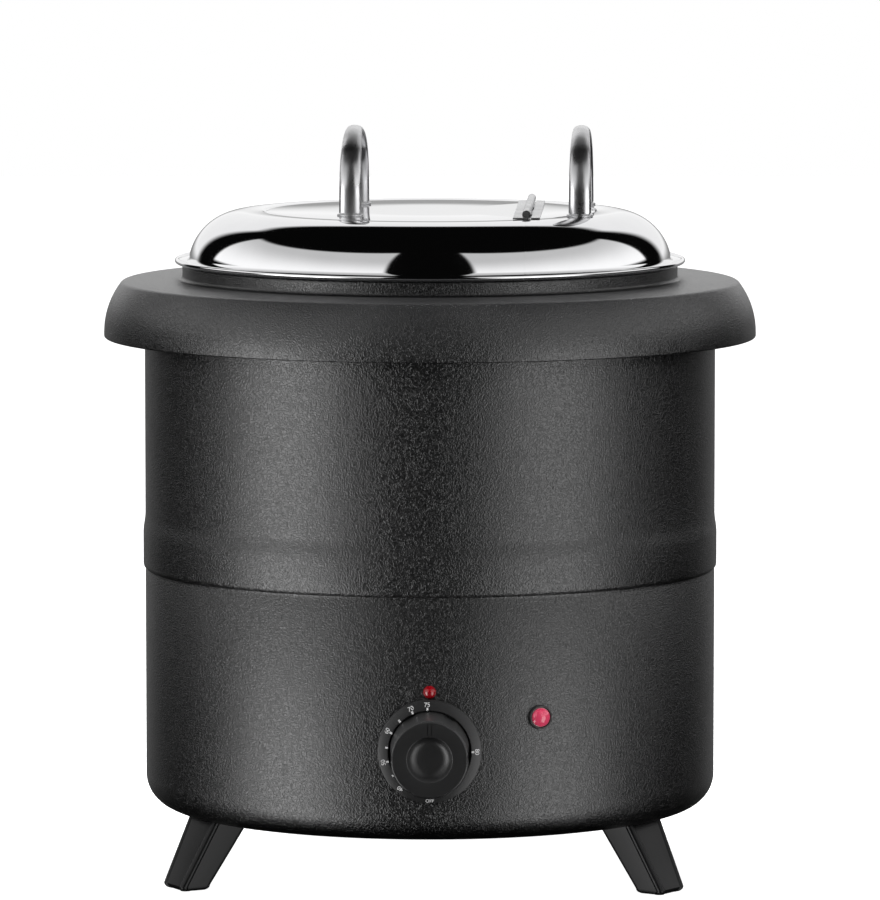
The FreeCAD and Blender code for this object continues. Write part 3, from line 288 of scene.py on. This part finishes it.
def shades(colour, share):
    """A colour scaled in brightness."""
    return tuple(part * share for part in colour)


def bump(graph, shader, height, strength, distance):
    node = graph.add("ShaderNodeBump", Height=height, Strength=strength, Distance=distance)
    graph.feed(shader, "Normal", node.outputs[0])


def wrinkle_paint(name):
    """Black powder coat that dries into fine leathery wrinkles."""
    depth = 0.095 * MM
    wander = 1.2 * MM
    dark, pale = (0.0085, 0.0085, 0.0088), (0.0125, 0.0125, 0.0128)
    material, graph, shader = new_material(name)
    where = place_of(graph)
    drift = graph.add("ShaderNodeTexNoise", Vector=where, Scale=450.0, Detail=1.0).outputs[1]
    multiply_add = {"operation": "MULTIPLY_ADD"}
    bent = graph.add("ShaderNodeVectorMath", multiply_add, i0=drift, i1=(wander,) * 3, i2=where)
    folds = noise(graph, bent.outputs[0], 760.0, 1.2, 0.5)
    valleys = graph.math("ABSOLUTE", graph.math("SUBTRACT", folds, 0.5))
    ridges = graph.smooth(valleys, 0.0, 0.16)
    fine = noise(graph, where, 1700.0, 2.0, 0.6)
    height = graph.math("MULTIPLY_ADD", fine, 0.30, ridges)
    bump(graph, shader, height, 1.0, depth)
    tone = noise(graph, where, 30.0, 2.0)
    graph.feed(shader, "Base Color", graph.colours(tone, (0.3, dark), (0.7, pale)))
    graph.feed(shader, "Roughness", graph.colours(fine, (0.3, 0.27), (0.75, 0.37)))
    graph.feed(shader, "IOR", 1.75)
    return material


def polished_steel(name, base=(0.80, 0.80, 0.81), roughness=0.045):
    """Mirror-finished stainless steel with faint buffing haze."""
    material, graph, shader = new_material(name)
    where = place_of(graph)
    haze = noise(graph, where, 55.0, 4.0, 0.55)
    colour = graph.colours(haze, (0.2, base), (0.8, shades(base, 1.06)))
    gloss = graph.colours(haze, (0.25, roughness * 0.7), (0.8, roughness * 1.5))
    graph.feed(shader, "Base Color", colour)
    graph.feed(shader, "Metallic", 1.0)
    graph.feed(shader, "Roughness", gloss)
    bump(graph, shader, noise(graph, where, 900.0, 2.0), 0.05, 0.02 * MM)
    return material


def drawn_steel(name, base=(0.60, 0.60, 0.61), roughness=0.27, streaks=1400.0):
    """Satin stainless steel with fine rings left by spinning and polishing."""
    material, graph, shader = new_material(name)
    where = place_of(graph)
    squash = graph.add("ShaderNodeMapping", Vector=where, Scale=(30.0, 30.0, streaks))
    lines = noise(graph, squash.outputs[0], 1.0, 3.0, 0.6)
    haze = noise(graph, where, 40.0, 3.0)
    colour = graph.colours(haze, (0.25, shades(base, 0.94)), (0.8, base))
    gloss = graph.colours(lines, (0.3, roughness * 0.85), (0.75, roughness * 1.25))
    graph.feed(shader, "Base Color", colour)
    graph.feed(shader, "Metallic", 1.0)
    graph.feed(shader, "Roughness", gloss)
    bump(graph, shader, lines, 0.12, 0.03 * MM)
    return material


def moulded_plastic(name, base, roughness=0.36, specular=0.5):
    """Moulded plastic with a fine spark-eroded grain."""
    material, graph, shader = new_material(name)
    where = place_of(graph)
    speckle = noise(graph, where, 2200.0, 2.0, 0.5)
    cloud = noise(graph, where, 60.0, 2.0)
    colour = graph.colours(cloud, (0.3, shades(base, 0.85)), (0.75, base))
    gloss = graph.colours(speckle, (0.3, roughness * 0.85), (0.75, roughness * 1.2))
    graph.feed(shader, "Base Color", colour)
    graph.feed(shader, "Roughness", gloss)
    graph.feed(shader, "Specular IOR Level", specular)
    bump(graph, shader, speckle, 0.5, 0.02 * MM)
    return material


def coloured_lens(name, base, glow, roughness=0.08):
    """Glossy coloured plastic that gives off a faint glow: the lit pilot lamp's own light, and on the marker,
    which is no lamp, a painted glow.
    """
    material, graph, shader = new_material(name)
    where = place_of(graph)
    cloud = noise(graph, where, 400.0, 2.0)
    colour = graph.colours(cloud, (0.3, shades(base, 0.85)), (0.7, base))
    gloss = graph.colours(cloud, (0.3, roughness * 0.8), (0.7, roughness * 1.3))
    graph.feed(shader, "Base Color", colour)
    graph.feed(shader, "Roughness", gloss)
    graph.feed(shader, "Coat Weight", 0.6)
    graph.feed(shader, "Coat Roughness", 0.04)
    graph.feed(shader, "Emission Color", as_colour(base))
    graph.feed(shader, "Emission Strength", glow)
    return material


def fibre(name, base):
    """Mineral wool: matted, uneven and soft."""
    material, graph, shader = new_material(name)
    where = place_of(graph)
    mat = noise(graph, where, 220.0, 6.0, 0.7)
    graph.feed(shader, "Base Color", graph.colours(mat, (0.25, shades(base, 0.6)), (0.75, base)))
    graph.feed(shader, "Roughness", 0.95)
    bump(graph, shader, mat, 0.8, 1.2 * MM)
    return material


def print_ink(name):
    """White print, a little worn."""
    material, graph, shader = new_material(name)
    worn = noise(graph, place_of(graph), 1800.0, 3.0)
    graph.feed(shader, "Base Color", graph.colours(worn, (0.25, 0.62), (0.5, 0.85)))
    graph.feed(shader, "Roughness", 0.55)
    return material


PAINT = wrinkle_paint("wrinkle_paint")
LID_STEEL = polished_steel("lid_steel")
HANDLE_STEEL = polished_steel("handle_steel", (0.66, 0.66, 0.67), 0.30)
POT_STEEL = drawn_steel("pot_steel")
PAN_STEEL = drawn_steel("pan_steel", (0.52, 0.52, 0.53), 0.34, 900.0)
ZINC = drawn_steel("zinc_steel", (0.56, 0.56, 0.55), 0.35, 500.0)
ALUMINIUM = drawn_steel("spreader_aluminium", (0.72, 0.72, 0.73), 0.38, 300.0)
SHEATH = drawn_steel("element_sheath", (0.20, 0.195, 0.19), 0.5, 300.0)
COPPER = drawn_steel("copper", (0.72, 0.40, 0.27), 0.3, 300.0)
KNOB_PLASTIC = moulded_plastic("phenolic", (0.032, 0.032, 0.0325), 0.36)
FOOT_PLASTIC = moulded_plastic("foot_plastic", (0.014, 0.014, 0.0145), 0.34, specular=0.22)
WHITE_PLASTIC = moulded_plastic("white_plastic", (0.72, 0.71, 0.67), 0.45)
SILICONE = moulded_plastic("silicone", (0.42, 0.07, 0.04), 0.5)
WOOL = fibre("mineral_wool", (0.62, 0.55, 0.36))
LAMP_RED = coloured_lens("lamp_red", (0.68, 0.06, 0.13), 0.35)
# the marker is no lamp: its faint emission is a painted glow
MARKER_RED = coloured_lens("marker_red", (0.42, 0.004, 0.012), 0.02, 0.06)
INK = print_ink("dial_ink")

SLOT_MATERIALS = {
    "drum_paint": PAINT,
    "rim_paint": PAINT,
    "lid_steel": LID_STEEL,
    "handle_steel": HANDLE_STEEL,
    "hinge_steel": HANDLE_STEEL,
    "pot_steel": POT_STEEL,
    "pan_steel": PAN_STEEL,
    "fastener_steel": ZINC,
    "spreader_aluminium": ALUMINIUM,
    "element_sheath": SHEATH,
    "blanket": WOOL,
    "phenolic": KNOB_PLASTIC,
    "foot_plastic": FOOT_PLASTIC,
    "white_plastic": WHITE_PLASTIC,
    "lamp_red": LAMP_RED,
    "marker_red": MARKER_RED,
    "lead_rubber": SILICONE,
    "copper": COPPER,
}


def dress_frame():
    """Gives every carried CAD node the material of its slot."""
    for entry in frame["record"]["subparts"]:
        mesh = frame["nodes"][entry["node"]].data
        mesh.materials.clear()
        mesh.materials.append(SLOT_MATERIALS[entry["material_slot"]])


# ---------------------------------------------------------------- mesh helpers


def arc(centre, radius, start, end, steps=8):
    """Points of an arc, angles in degrees from +radius towards +height."""
    points = []
    for step in range(steps + 1):
        angle = math.radians(start + (end - start) * step / steps)
        across, rise = radius * math.cos(angle), radius * math.sin(angle)
        points.append((centre[0] + across, centre[1] + rise))
    return points


def finish_piece(name, bm, material, body, nodes=(), crease=35.0, matrix=None):
    """Turns a bmesh into a shaded piece that rides on a body."""
    bmesh.ops.remove_doubles(bm, verts=bm.verts, dist=1e-7)
    bmesh.ops.recalc_face_normals(bm, faces=bm.faces)
    mesh = bpy.data.meshes.new(name)
    bm.to_mesh(mesh)
    bm.free()
    if matrix is not None:
        mesh.transform(matrix)
    mesh.polygons.foreach_set("use_smooth", [True] * len(mesh.polygons))
    mesh.set_sharp_from_angle(angle=math.radians(crease))
    mesh.materials.append(material)
    piece = bpy.data.objects.new(name, mesh)
    bpy.context.collection.objects.link(piece)
    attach(piece, body)
    if nodes:
        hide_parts(*nodes)


def lathe(profile, segments=256, warp=None, bm=None):
    """Turns a closed profile about Z. warp(radius, height, angle) may move a radius."""
    bm = bm or bmesh.new()
    rings = []
    for radius, height in profile:
        if radius < 1e-9:
            rings.append([bm.verts.new((0.0, 0.0, height))])
            continue
        ring = []
        for index in range(segments):
            angle = 2 * math.pi * index / segments
            r = warp(radius, height, angle) if warp else radius
            ring.append(bm.verts.new((r * math.cos(angle), r * math.sin(angle), height)))
        rings.append(ring)
    for first, second in zip(rings, rings[1:] + rings[:1]):
        skin(bm, first, second)
    return bm


def skin(bm, first, second):
    """Faces between two rings, either of which may be a single point."""
    count = max(len(first), len(second))
    if count == 1:
        return
    for index in range(count):
        after = (index + 1) % count
        if len(first) == 1:
            bm.faces.new((first[0], second[after], second[index]))
        elif len(second) == 1:
            bm.faces.new((first[index], first[after], second[0]))
        else:
            bm.faces.new((first[index], first[after], second[after], second[index]))


def loft(sections):
    """Skins a run of closed sections, each a list of points, and caps both ends."""
    bm = bmesh.new()
    rings = [[bm.verts.new(point) for point in section] for section in sections]
    for first, second in zip(rings, rings[1:]):
        skin(bm, first, second)
    bm.faces.new(rings[0])
    bm.faces.new(rings[-1])
    return bm


def add_box(bm, low, high, bevel=0.0):
    """A box, with bevelled edges if asked for."""
    centre = (Vector(low) + Vector(high)) / 2
    span = Vector(high) - Vector(low)
    matrix = Matrix.Translation(centre) @ Matrix.Diagonal((*span, 1.0))
    made = bmesh.ops.create_cube(bm, size=1.0, matrix=matrix)
    if bevel:
        edges = list({e for v in made["verts"] for e in v.link_edges})
        bmesh.ops.bevel(bm, geom=edges, offset=bevel, segments=2, affect="EDGES", profile=0.5)


def facing(point, direction):
    """A matrix that takes +Z to a direction and the origin to a point."""
    turn = Vector(direction).to_track_quat("Z", "Y").to_matrix().to_4x4()
    return Matrix.Translation(point) @ turn


# ---------------------------------------------------------------- drum and rim


def drum_profile():
    """Rounded bottom, plain wall and the slightly proud band round the middle."""
    radius = DRUM_RADIUS
    inner = radius - SHEET
    turn = 17 * MM
    flat = radius - turn
    lift = DRUM_BOTTOM + turn
    hole = 100 * MM
    band_low = 163.2 * MM
    band_high = 191 * MM
    outer = arc((flat, lift), turn, -90, 0, 14)
    band = [
        (radius, band_low - 1.6 * MM),
        (radius - 0.5 * MM, band_low - 0.5 * MM),
        (radius - 0.2 * MM, band_low + 0.1 * MM),
        (radius + BAND_STEP * 0.75, band_low + 0.9 * MM),
        (radius + BAND_STEP, band_low + 2.2 * MM),
        (radius + BAND_STEP, band_high - 9 * MM),
        (radius + BAND_STEP * 0.85, band_high - 6.5 * MM),
        (radius + BAND_STEP * 0.45, band_high - 3.5 * MM),
        (radius + BAND_STEP * 0.12, band_high - 1 * MM),
        (radius, band_high + 1.5 * MM),
    ]
    top = [(radius, DRUM_TOP), (inner, DRUM_TOP)]
    inside = [(inner, lift)] + arc((flat, lift), turn - SHEET, 0, -90, 10)
    return [(hole, DRUM_BOTTOM)] + outer + band + top + inside + [(hole, DRUM_BOTTOM + SHEET)]


def make_drum():
    bm = lathe(drum_profile(), 384)
    finish_piece("drum", bm, PAINT, "kettle", ["outer_shell"], crease=60)


def rim_profile():
    """Neck, flat top, small shoulder and the large rounded skirt, as one thin sheet."""
    sheet = 1.2 * MM
    crown = 42.5 * MM
    crown_centre = (RIM_RADIUS - crown, 288 * MM)
    small = 3 * MM
    shoulder = 315 * MM
    flat = 316 * MM
    reach = math.sqrt((crown - small) ** 2 - (shoulder - small - crown_centre[1]) ** 2)
    small_centre = (crown_centre[0] + reach, shoulder - small)
    meet = math.degrees(math.atan2(small_centre[1] - crown_centre[1], reach))
    neck = 131 * MM
    neck_inner = neck - sheet
    seat = 122.5 * MM
    lip = 1.5 * MM
    hem = 0.8 * MM
    hem_inner = 166 * MM
    outside = (
        [(seat, NECK_TOP)]
        + arc((neck - lip, NECK_TOP - lip), lip, 90, 0, 6)
        + arc((neck + 2 * MM, flat + 2 * MM), 2 * MM, 180, 270, 8)
        + [(150 * MM, flat)]
        + arc(small_centre, small, 88, meet, 8)
        + arc(crown_centre, crown, meet, 0, 20)
        + arc((RIM_RADIUS - hem, RIM_LOW + hem), hem, 0, -90, 5)
    )
    inside = (
        [(hem_inner, RIM_LOW), (hem_inner, RIM_LOW + sheet), (RIM_RADIUS - sheet, RIM_LOW + sheet)]
        + arc(crown_centre, crown - sheet, 0, meet, 14)
        + arc(small_centre, small - sheet, meet, 88, 4)
        + [(150 * MM, flat - sheet), (neck_inner, flat - sheet), (neck_inner, NECK_TOP - sheet)]
        + [(seat, NECK_TOP - sheet)]
    )
    return outside + inside


def make_rim():
    bm = lathe(rim_profile(), 384)
    finish_piece("rim", bm, PAINT, "kettle", ["rim_cover"], crease=40)


# ---------------------------------------------------------------- feet


def foot_section(share, height, inset=0.0):
    """Outline of a foot at a height, with a proud bead down each outer corner.

    The share runs from 0 at the floor to 1 at the drum.
    """
    centre = FOOT_LOW_RADIUS + (FOOT_TOP_RADIUS - FOOT_LOW_RADIUS) * share
    half_length = (9 + 2 * share) * MM - inset
    half_width = (11.5 + 4 * share) * MM - inset
    bead = 2.3 * MM
    sunk = 0.8 * MM
    soft = 3 * MM
    points = []
    bead_x = half_length - bead
    bead_y = half_width - bead
    for side in (-1, 1):
        turn = []
        for degrees in (-48, -30, -15, 0, 15, 30, 45, 60, 75, 90, 105, 120, 138):
            angle = math.radians(degrees)
            turn.append((bead_x + bead * math.cos(angle), bead_y + bead * math.sin(angle)))
        groove_out = (half_length - sunk, bead_y - bead * 0.9)
        groove_side = (bead_x - bead * 0.9, half_width - sunk)
        row = [groove_out] + turn + [groove_side]
        row = [(x, side * y) for x, y in row]
        points += row if side > 0 else row[::-1]
    for side in (1, -1):
        row = []
        for degrees in (90, 112, 135, 158, 180):
            angle = math.radians(degrees)
            x = -half_length + soft + soft * math.cos(angle)
            y = half_width - sunk - soft + soft * math.sin(angle)
            row.append((x, side * y))
        points += row if side > 0 else row[::-1]
    return [(centre + x, y, height) for x, y in points]


def make_feet():
    rounding = 2.6 * MM
    for label in ("foot_left", "foot_right", "foot_rear"):
        low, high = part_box(label)
        heading = math.atan2((low[1] + high[1]) / 2, (low[0] + high[0]) / 2)
        top = high[2]
        sections = []
        for step in range(5):
            angle = math.radians(90 * step / 4)
            height = rounding * (1 - math.cos(angle))
            inset = rounding * (1 - math.sin(angle))
            sections.append(foot_section(0.0, height, inset))
        for step in range(1, 9):
            share = step / 8
            sections.append(foot_section(share, rounding + (top - rounding) * share))
        turn = Matrix.Rotation(heading, 4, "Z")
        name = label.replace("foot", "moulded_foot")
        bm = loft(sections)
        finish_piece(name, bm, FOOT_PLASTIC, "kettle", [label], 28, turn)


# ---------------------------------------------------------------- pot and lid


def pot_profile():
    """Round-bottomed pot with a flange that rests on the rim's neck."""
    outer = 120.5 * MM
    inner = 119.5 * MM
    turn = 20 * MM
    bottom = corner("food_pot", LOW, Z)
    flange = corner("food_pot", HIGH, X)
    top = corner("food_pot", HIGH, Z)
    lip = 1.5 * MM
    flat = outer - turn
    lift = bottom + turn
    edge = 0.5 * MM
    return (
        [(0.0, bottom)]
        + arc((flat, lift), turn, -90, 0, 12)
        + arc((outer + lip, NECK_TOP - lip), lip, 180, 90, 6)
        + arc((flange - edge, NECK_TOP + edge), edge, -90, 90, 6)
        + arc((outer + lip, NECK_TOP - lip), lip + SHEET, 90, 180, 8)
        + arc((flat, lift), inner - flat, 0, -90, 12)
        + [(0.0, bottom + SHEET)]
    )


def lid_profile():
    """Rolled edge, flange, round shoulder, pressed ring and flat top, as one thin sheet."""
    base = 325 * MM
    radius = 135 * MM
    roll = 1.35 * MM
    shoulder = 30 * MM
    flat = 98 * MM
    centre = (flat, LID_TOP - shoulder)
    inner = shoulder - SHEET
    foot_angle = math.degrees(math.asin((base + SHEET - centre[1]) / shoulder))
    under_angle = math.degrees(math.asin((base - centre[1]) / inner))
    roll_centre = (radius - roll, LID_LOW + roll)
    ring = 87 * MM
    ring_half = 2.2 * MM
    ring_depth = 0.5 * MM

    def pressed_ring(height, sign):
        spots = []
        for step in range(9):
            share = step / 8
            dip = ring_depth * 0.5 * (1 - math.cos(2 * math.pi * share))
            spots.append((ring + sign * ring_half * (1 - 2 * share), height - dip))
        return spots

    top = (
        arc(roll_centre, roll, -100, 165, 22)
        + [(radius - 3.2 * MM, base + SHEET)]
        + [(flat + shoulder * math.cos(math.radians(foot_angle)) + 0.8 * MM, base + SHEET)]
        + arc(centre, shoulder, foot_angle + 1.5, 90, 30)
        + pressed_ring(LID_TOP, 1)
        + [(40 * MM, LID_TOP), (0.0, LID_TOP)]
    )
    under = (
        [(0.0, LID_TOP - SHEET), (40 * MM, LID_TOP - SHEET)]
        + pressed_ring(LID_TOP - SHEET, -1)
        + arc(centre, inner, 90, under_angle, 24)
        + [(radius - 2 * roll + 1.0 * MM, base)]
    )
    return top + under


def lid_part(keep_flap):
    """One side of the parted lid, closed along the cut."""
    bm = lathe(lid_profile(), 360)
    half_gap = 0.01 * MM
    seam = HINGE_PLACE.x + (half_gap if keep_flap else -half_gap)
    every = bm.verts[:] + bm.edges[:] + bm.faces[:]
    cut = bmesh.ops.bisect_plane(
        bm,
        geom=every,
        plane_co=(seam, 0, 0),
        plane_no=(1, 0, 0),
        clear_inner=keep_flap,
        clear_outer=not keep_flap,
    )
    edges = [item for item in cut["geom_cut"] if isinstance(item, bmesh.types.BMEdge)]
    bmesh.ops.triangle_fill(bm, edges=edges, use_beauty=True)
    return bm


def make_lid():
    main = lid_part(False)
    finish_piece("lid_main_panel", main, LID_STEEL, "lid", ["lid_main"], 40, LID_SPIN)
    flap = lid_part(True)
    finish_piece("lid_flap_panel", flap, LID_STEEL, "flap", ["lid_flap"], 40, LID_SPIN)


def make_pot():
    finish_piece("pot", lathe(pot_profile(), 256), POT_STEEL, "pot", ["food_pot"], 35)


def handle_path(steps=64):
    """Centre line of a handle in the YZ plane, from one foot over the apex to the other.

    Each spot is (y, z, heading, share), with a share of 0 at a foot and 1 at the apex.
    """
    apex = HANDLE_APEX - 3.1 * MM
    half = HANDLE_HALF_SPAN
    turn = 24 * MM
    crown = 80 * MM
    crown_low = apex - crown
    side = half - turn
    knee = crown_low + math.sqrt((crown - turn) ** 2 - side**2)
    lean = math.atan2(knee - crown_low, side)
    runs = [
        (knee - RING_TOP, lambda d: (half, RING_TOP + d, math.pi / 2)),
        (
            turn * lean,
            lambda d: (
                side + turn * math.cos(d / turn),
                knee + turn * math.sin(d / turn),
                math.pi / 2 + d / turn,
            ),
        ),
        (
            crown * (math.pi / 2 - lean),
            lambda d: (
                crown * math.cos(lean + d / crown),
                crown_low + crown * math.sin(lean + d / crown),
                math.pi / 2 + lean + d / crown,
            ),
        ),
    ]
    length = sum(run for run, _ in runs)
    spots = []
    for step in range(steps + 1):
        along = length * step / steps
        share = step / steps
        for run, spot in runs:
            if along <= run + 1e-12:
                break
            along -= run
        y, z, heading = spot(min(along, run))
        spots.append((y, z, heading, share))
    back = spots[-2::-1]
    return spots + [(-y, z, 2 * math.pi - heading, share) for y, z, heading, share in back]


def handle_mesh():
    """A strap that narrows from its feet to its apex, its rounded section shaped alike inside and outside."""
    sections = []
    for y, z, heading, share in handle_path():
        half_width = (5.9 - 1.7 * share**1.5) * MM
        half_depth = (3.5 - 0.45 * share) * MM
        across = Vector((0, math.sin(heading), -math.cos(heading)))
        ring = []
        for index in range(32):
            angle = 2 * math.pi * index / 32
            c, s = math.cos(angle), math.sin(angle)
            x = half_width * math.copysign(abs(c) ** 0.9, c)
            out = half_depth * math.copysign(abs(s) ** 0.9, s)
            point = Vector((x, y, z)) + across * out
            ring.append(tuple(point))
        sections.append(ring)
    return loft(sections)


def foot_ring_profile():
    """Stepped ring at each foot of a handle."""
    low = corner("main_handle_rings", LOW, Z)
    bore = 2.1 * MM
    outer = 7 * MM
    height = RING_TOP - low
    return (
        [(bore, low), (outer - 0.2 * MM, low)]
        + arc((outer - 0.55 * MM, low + 0.55 * MM), 0.55 * MM, -60, 75, 6)
        + [(outer - 1.2 * MM, low + height * 0.75)]
        + arc((outer - 2.0 * MM, RING_TOP - 0.4 * MM), 0.4 * MM, 0, 90, 4)
        + [(bore, RING_TOP)]
    )


def make_handles():
    for label, body in (("main_handle", "lid"), ("flap_handle", "flap")):
        low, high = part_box(label)
        centre = Vector(((low[0] + high[0]) / 2, (low[1] + high[1]) / 2, 0))
        middle = LID_SPIN.inverted() @ centre
        place = LID_SPIN @ Matrix.Translation((middle.x, 0, 0))
        name = label + "_bow"
        bow = handle_mesh()
        finish_piece(name, bow, HANDLE_STEEL, body, [label], 40, place)
        rings = bmesh.new()
        for side in (-1, 1):
            before = set(rings.verts)
            lathe(foot_ring_profile(), 64, bm=rings)
            moved = [v for v in rings.verts if v not in before]
            bmesh.ops.translate(rings, verts=moved, vec=(0, HANDLE_HALF_SPAN * side, 0))
        name = label + "_bases"
        nodes = [label + "_rings"]
        finish_piece(name, rings, HANDLE_STEEL, body, nodes, 40, place)


# ---------------------------------------------------------------- controls


def dial_height(radius):
    """Height of the coned skirt above the knob's back, where the scale is printed."""
    return 3.88 * MM + (26.35 * MM - radius) * 0.32


def knob_profile():
    """Half section of the knob about its own axis, back at low heights."""
    back = 1.0 * MM
    bore = 3.05 * MM
    bore_end = 16 * MM
    floor = 6.0 * MM
    dish = 11.5 * MM
    dish_depth = 4 * MM
    edge = 1.3 * MM
    front = GRIP_RADIUS - 0.5 * MM
    return (
        [(bore, back), (SKIRT_RADIUS - 0.6 * MM, back), (SKIRT_RADIUS, back + 0.6 * MM)]
        + arc((SKIRT_RADIUS - 0.4 * MM, back + 2.45 * MM), 0.4 * MM, 0, 70, 6)
        + [(22.0 * MM, dial_height(22.0 * MM)), (21.5 * MM, dial_height(21.7 * MM))]
        + [(20.95 * MM, back + 2.0 * MM), (GRIP_RADIUS, back + 2.0 * MM)]
        + [(GRIP_RADIUS, back + 6 * MM)]
        + arc((front - edge, KNOB_DEPTH - edge), edge, 2, 90, 8)
        + arc((dish + 0.4 * MM, KNOB_DEPTH - 0.5 * MM), 0.5 * MM, 90, 160, 5)
        + [(dish - 0.9 * MM, KNOB_DEPTH - 1.6 * MM), (dish - 2.1 * MM, KNOB_DEPTH - 2.8 * MM)]
        + [(dish - 3.6 * MM, KNOB_DEPTH - 3.6 * MM), (floor, KNOB_DEPTH - dish_depth)]
        + [(0.0, KNOB_DEPTH - dish_depth), (0.0, bore_end), (bore, bore_end)]
    )


def fluted(radius, height, angle):
    """Six shallow flutes down the grip."""
    low, high, least = 6.9 * MM, 36 * MM, 15 * MM
    if not low < height < high or radius < least:
        return radius
    flute, depth, count = 12 * MM, 1.15 * MM, 6
    pitch = 2 * math.pi / count
    around = (angle - math.pi / 2) % pitch - pitch / 2
    centre = GRIP_RADIUS + flute - depth
    across = centre * math.sin(around)
    if abs(across) >= flute:
        return radius
    limit = centre * math.cos(around) - math.sqrt(flute**2 - across**2)
    return min(radius, limit - (GRIP_RADIUS - radius) * 0.25)


def text_mesh(words, size, thickness):
    """Flat text, centred on the origin, as mesh."""
    curve = bpy.data.curves.new("dial_text", "FONT")
    curve.body = words
    curve.size = size
    curve.align_x = "CENTER"
    curve.align_y = "CENTER"
    curve.extrude = thickness
    curve.offset = size * 0.012
    holder = bpy.data.objects.new("dial_text", curve)
    bpy.context.collection.objects.link(holder)
    mesh = bpy.data.meshes.new_from_object(holder)
    bpy.data.objects.remove(holder)
    bpy.data.curves.remove(curve)
    return mesh


def make_knob():
    place = Matrix.Translation((0, -DRUM_RADIUS, KNOB_HEIGHT))
    spin = place @ Matrix.Rotation(math.pi / 2, 4, "X")
    bm = lathe(knob_profile(), 288, warp=fluted)
    finish_piece("knob", bm, KNOB_PLASTIC, "knob", ["control_knob"], 32, spin)
    make_pointer(spin)
    make_dial(spin)


def make_pointer(spin):
    """Two fine lines in the grip's face, from its edge to the dish."""
    apart, half_width, thick = 1.0 * MM, 0.28 * MM, 0.2 * MM
    inner_end, outer_end = 12.4 * MM, 19.0 * MM
    bm = bmesh.new()
    for side in (-1, 1):
        x = side * apart
        low = (x - half_width, inner_end, KNOB_DEPTH - thick)
        high = (x + half_width, outer_end, KNOB_DEPTH)
        add_box(bm, low, high, 0.14 * MM)
    finish_piece("knob_pointer", bm, KNOB_PLASTIC, "knob", matrix=spin)


# dial marks as (degrees clockwise from the top, text or kind of mark)
DIAL_MARKS = (
    (-3.0, "75"),
    (-23.5, "70"),
    (-44.0, "tick"),
    (-63.5, "60"),
    (-84.0, "tick"),
    (-103.0, "50"),
    (-123.0, "tick"),
    (-141.5, "40"),
    (-163.0, "dot"),
    (90.0, "80"),
)


def add_text(bm, words, size, distance):
    """Prints words a distance out from the knob's axis."""
    mesh = text_mesh(words, size, 0.05 * MM)
    mesh.transform(Matrix.Translation((0, distance, 0)))
    bm.from_mesh(mesh)
    bpy.data.meshes.remove(mesh)


def make_dial(spin):
    """Printed scale on the skirt: numbers outside, ticks inside."""
    half_tick = 0.5 * MM
    bm = bmesh.new()
    for degrees, mark in DIAL_MARKS:
        turn = Matrix.Rotation(math.radians(-degrees), 4, "Z")
        before = set(bm.verts)
        if mark == "dot":
            add_box(bm, (-half_tick, 22.8 * MM, 0), (half_tick, 23.8 * MM, 0.1 * MM))
        else:
            add_box(bm, (-half_tick, 21.5 * MM, 0), (half_tick, 22.9 * MM, 0.12 * MM))
        if mark.isdigit():
            add_text(bm, mark, 3.1 * MM, 24.25 * MM)
        moved = [v for v in bm.verts if v not in before]
        bmesh.ops.transform(bm, verts=moved, matrix=turn)
    add_text(bm, "OFF", 2.45 * MM, -25.45 * MM)
    for vert in bm.verts:
        vert.co.z += dial_height(math.hypot(vert.co.x, vert.co.y))
    finish_piece("dial_marks", bm, INK, "knob", matrix=spin)


def lamp_frame():
    """Places +Z out of the drum's wall at the lamp."""
    direction = Vector((math.sin(LAMP_AZIMUTH), -math.cos(LAMP_AZIMUTH), 0))
    low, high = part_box("pilot_lamp_lens")
    height = (low[2] + high[2]) / 2
    return facing(direction * DRUM_RADIUS + Vector((0, 0, height)), direction)


def make_lamp():
    place = lamp_frame()
    bore, seat = 5.1 * MM, 0.02 * MM
    section = 0.55 * MM
    bezel = (
        [(bore, seat), (6.2 * MM, seat)]
        + arc((bore + section, 1.3 * MM), section, 0, 180, 8)
        + [(bore, 1.0 * MM)]
    )
    bm = lathe(bezel, 96)
    nodes = ["pilot_lamp_bezel"]
    finish_piece("lamp_bezel", bm, KNOB_PLASTIC, "kettle", nodes, 35, place)
    dome = 6.0 * MM
    rim = 4.7 * MM
    wall = 2.3 * MM
    half = math.degrees(math.asin(rim / dome))
    centre = wall - dome * math.cos(math.radians(half))
    lens = [(0.0, 1 * MM), (rim, 1 * MM), (rim, wall)]
    lens += arc((0.0, centre), dome, 90 - half + 2, 90, 12)
    bm = lathe(lens, 96)
    finish_piece("lamp_lens", bm, LAMP_RED, "kettle", ["pilot_lamp_lens"], 35, place)


def make_marker():
    """Red bead above the dial, with its stem through the drum's wall."""
    low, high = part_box("index_marker")
    height = (low[2] + high[2]) / 2
    place = facing((0, -DRUM_RADIUS, height), (0, -1, 0))
    radius = (high[2] - low[2]) / 2
    stem, stem_end, foot = 2 * MM, -4 * MM, 0.05 * MM
    bead = [(0.0, stem_end), (stem, stem_end), (stem, foot)] + arc((0.0, foot), radius, 0, 90, 16)
    bm = lathe(bead, 96)
    finish_piece("index_bead", bm, MARKER_RED, "kettle", ["index_marker"], 35, place)


# ---------------------------------------------------------------- scene

make_camera()
make_world()
make_overhead()
make_floor()
dress_frame()
make_drum()
make_rim()
make_feet()
make_pot()
make_lid()
make_handles()
make_knob()
make_lamp()
make_marker()

bpy.context.scene.view_settings.view_transform = "Standard"
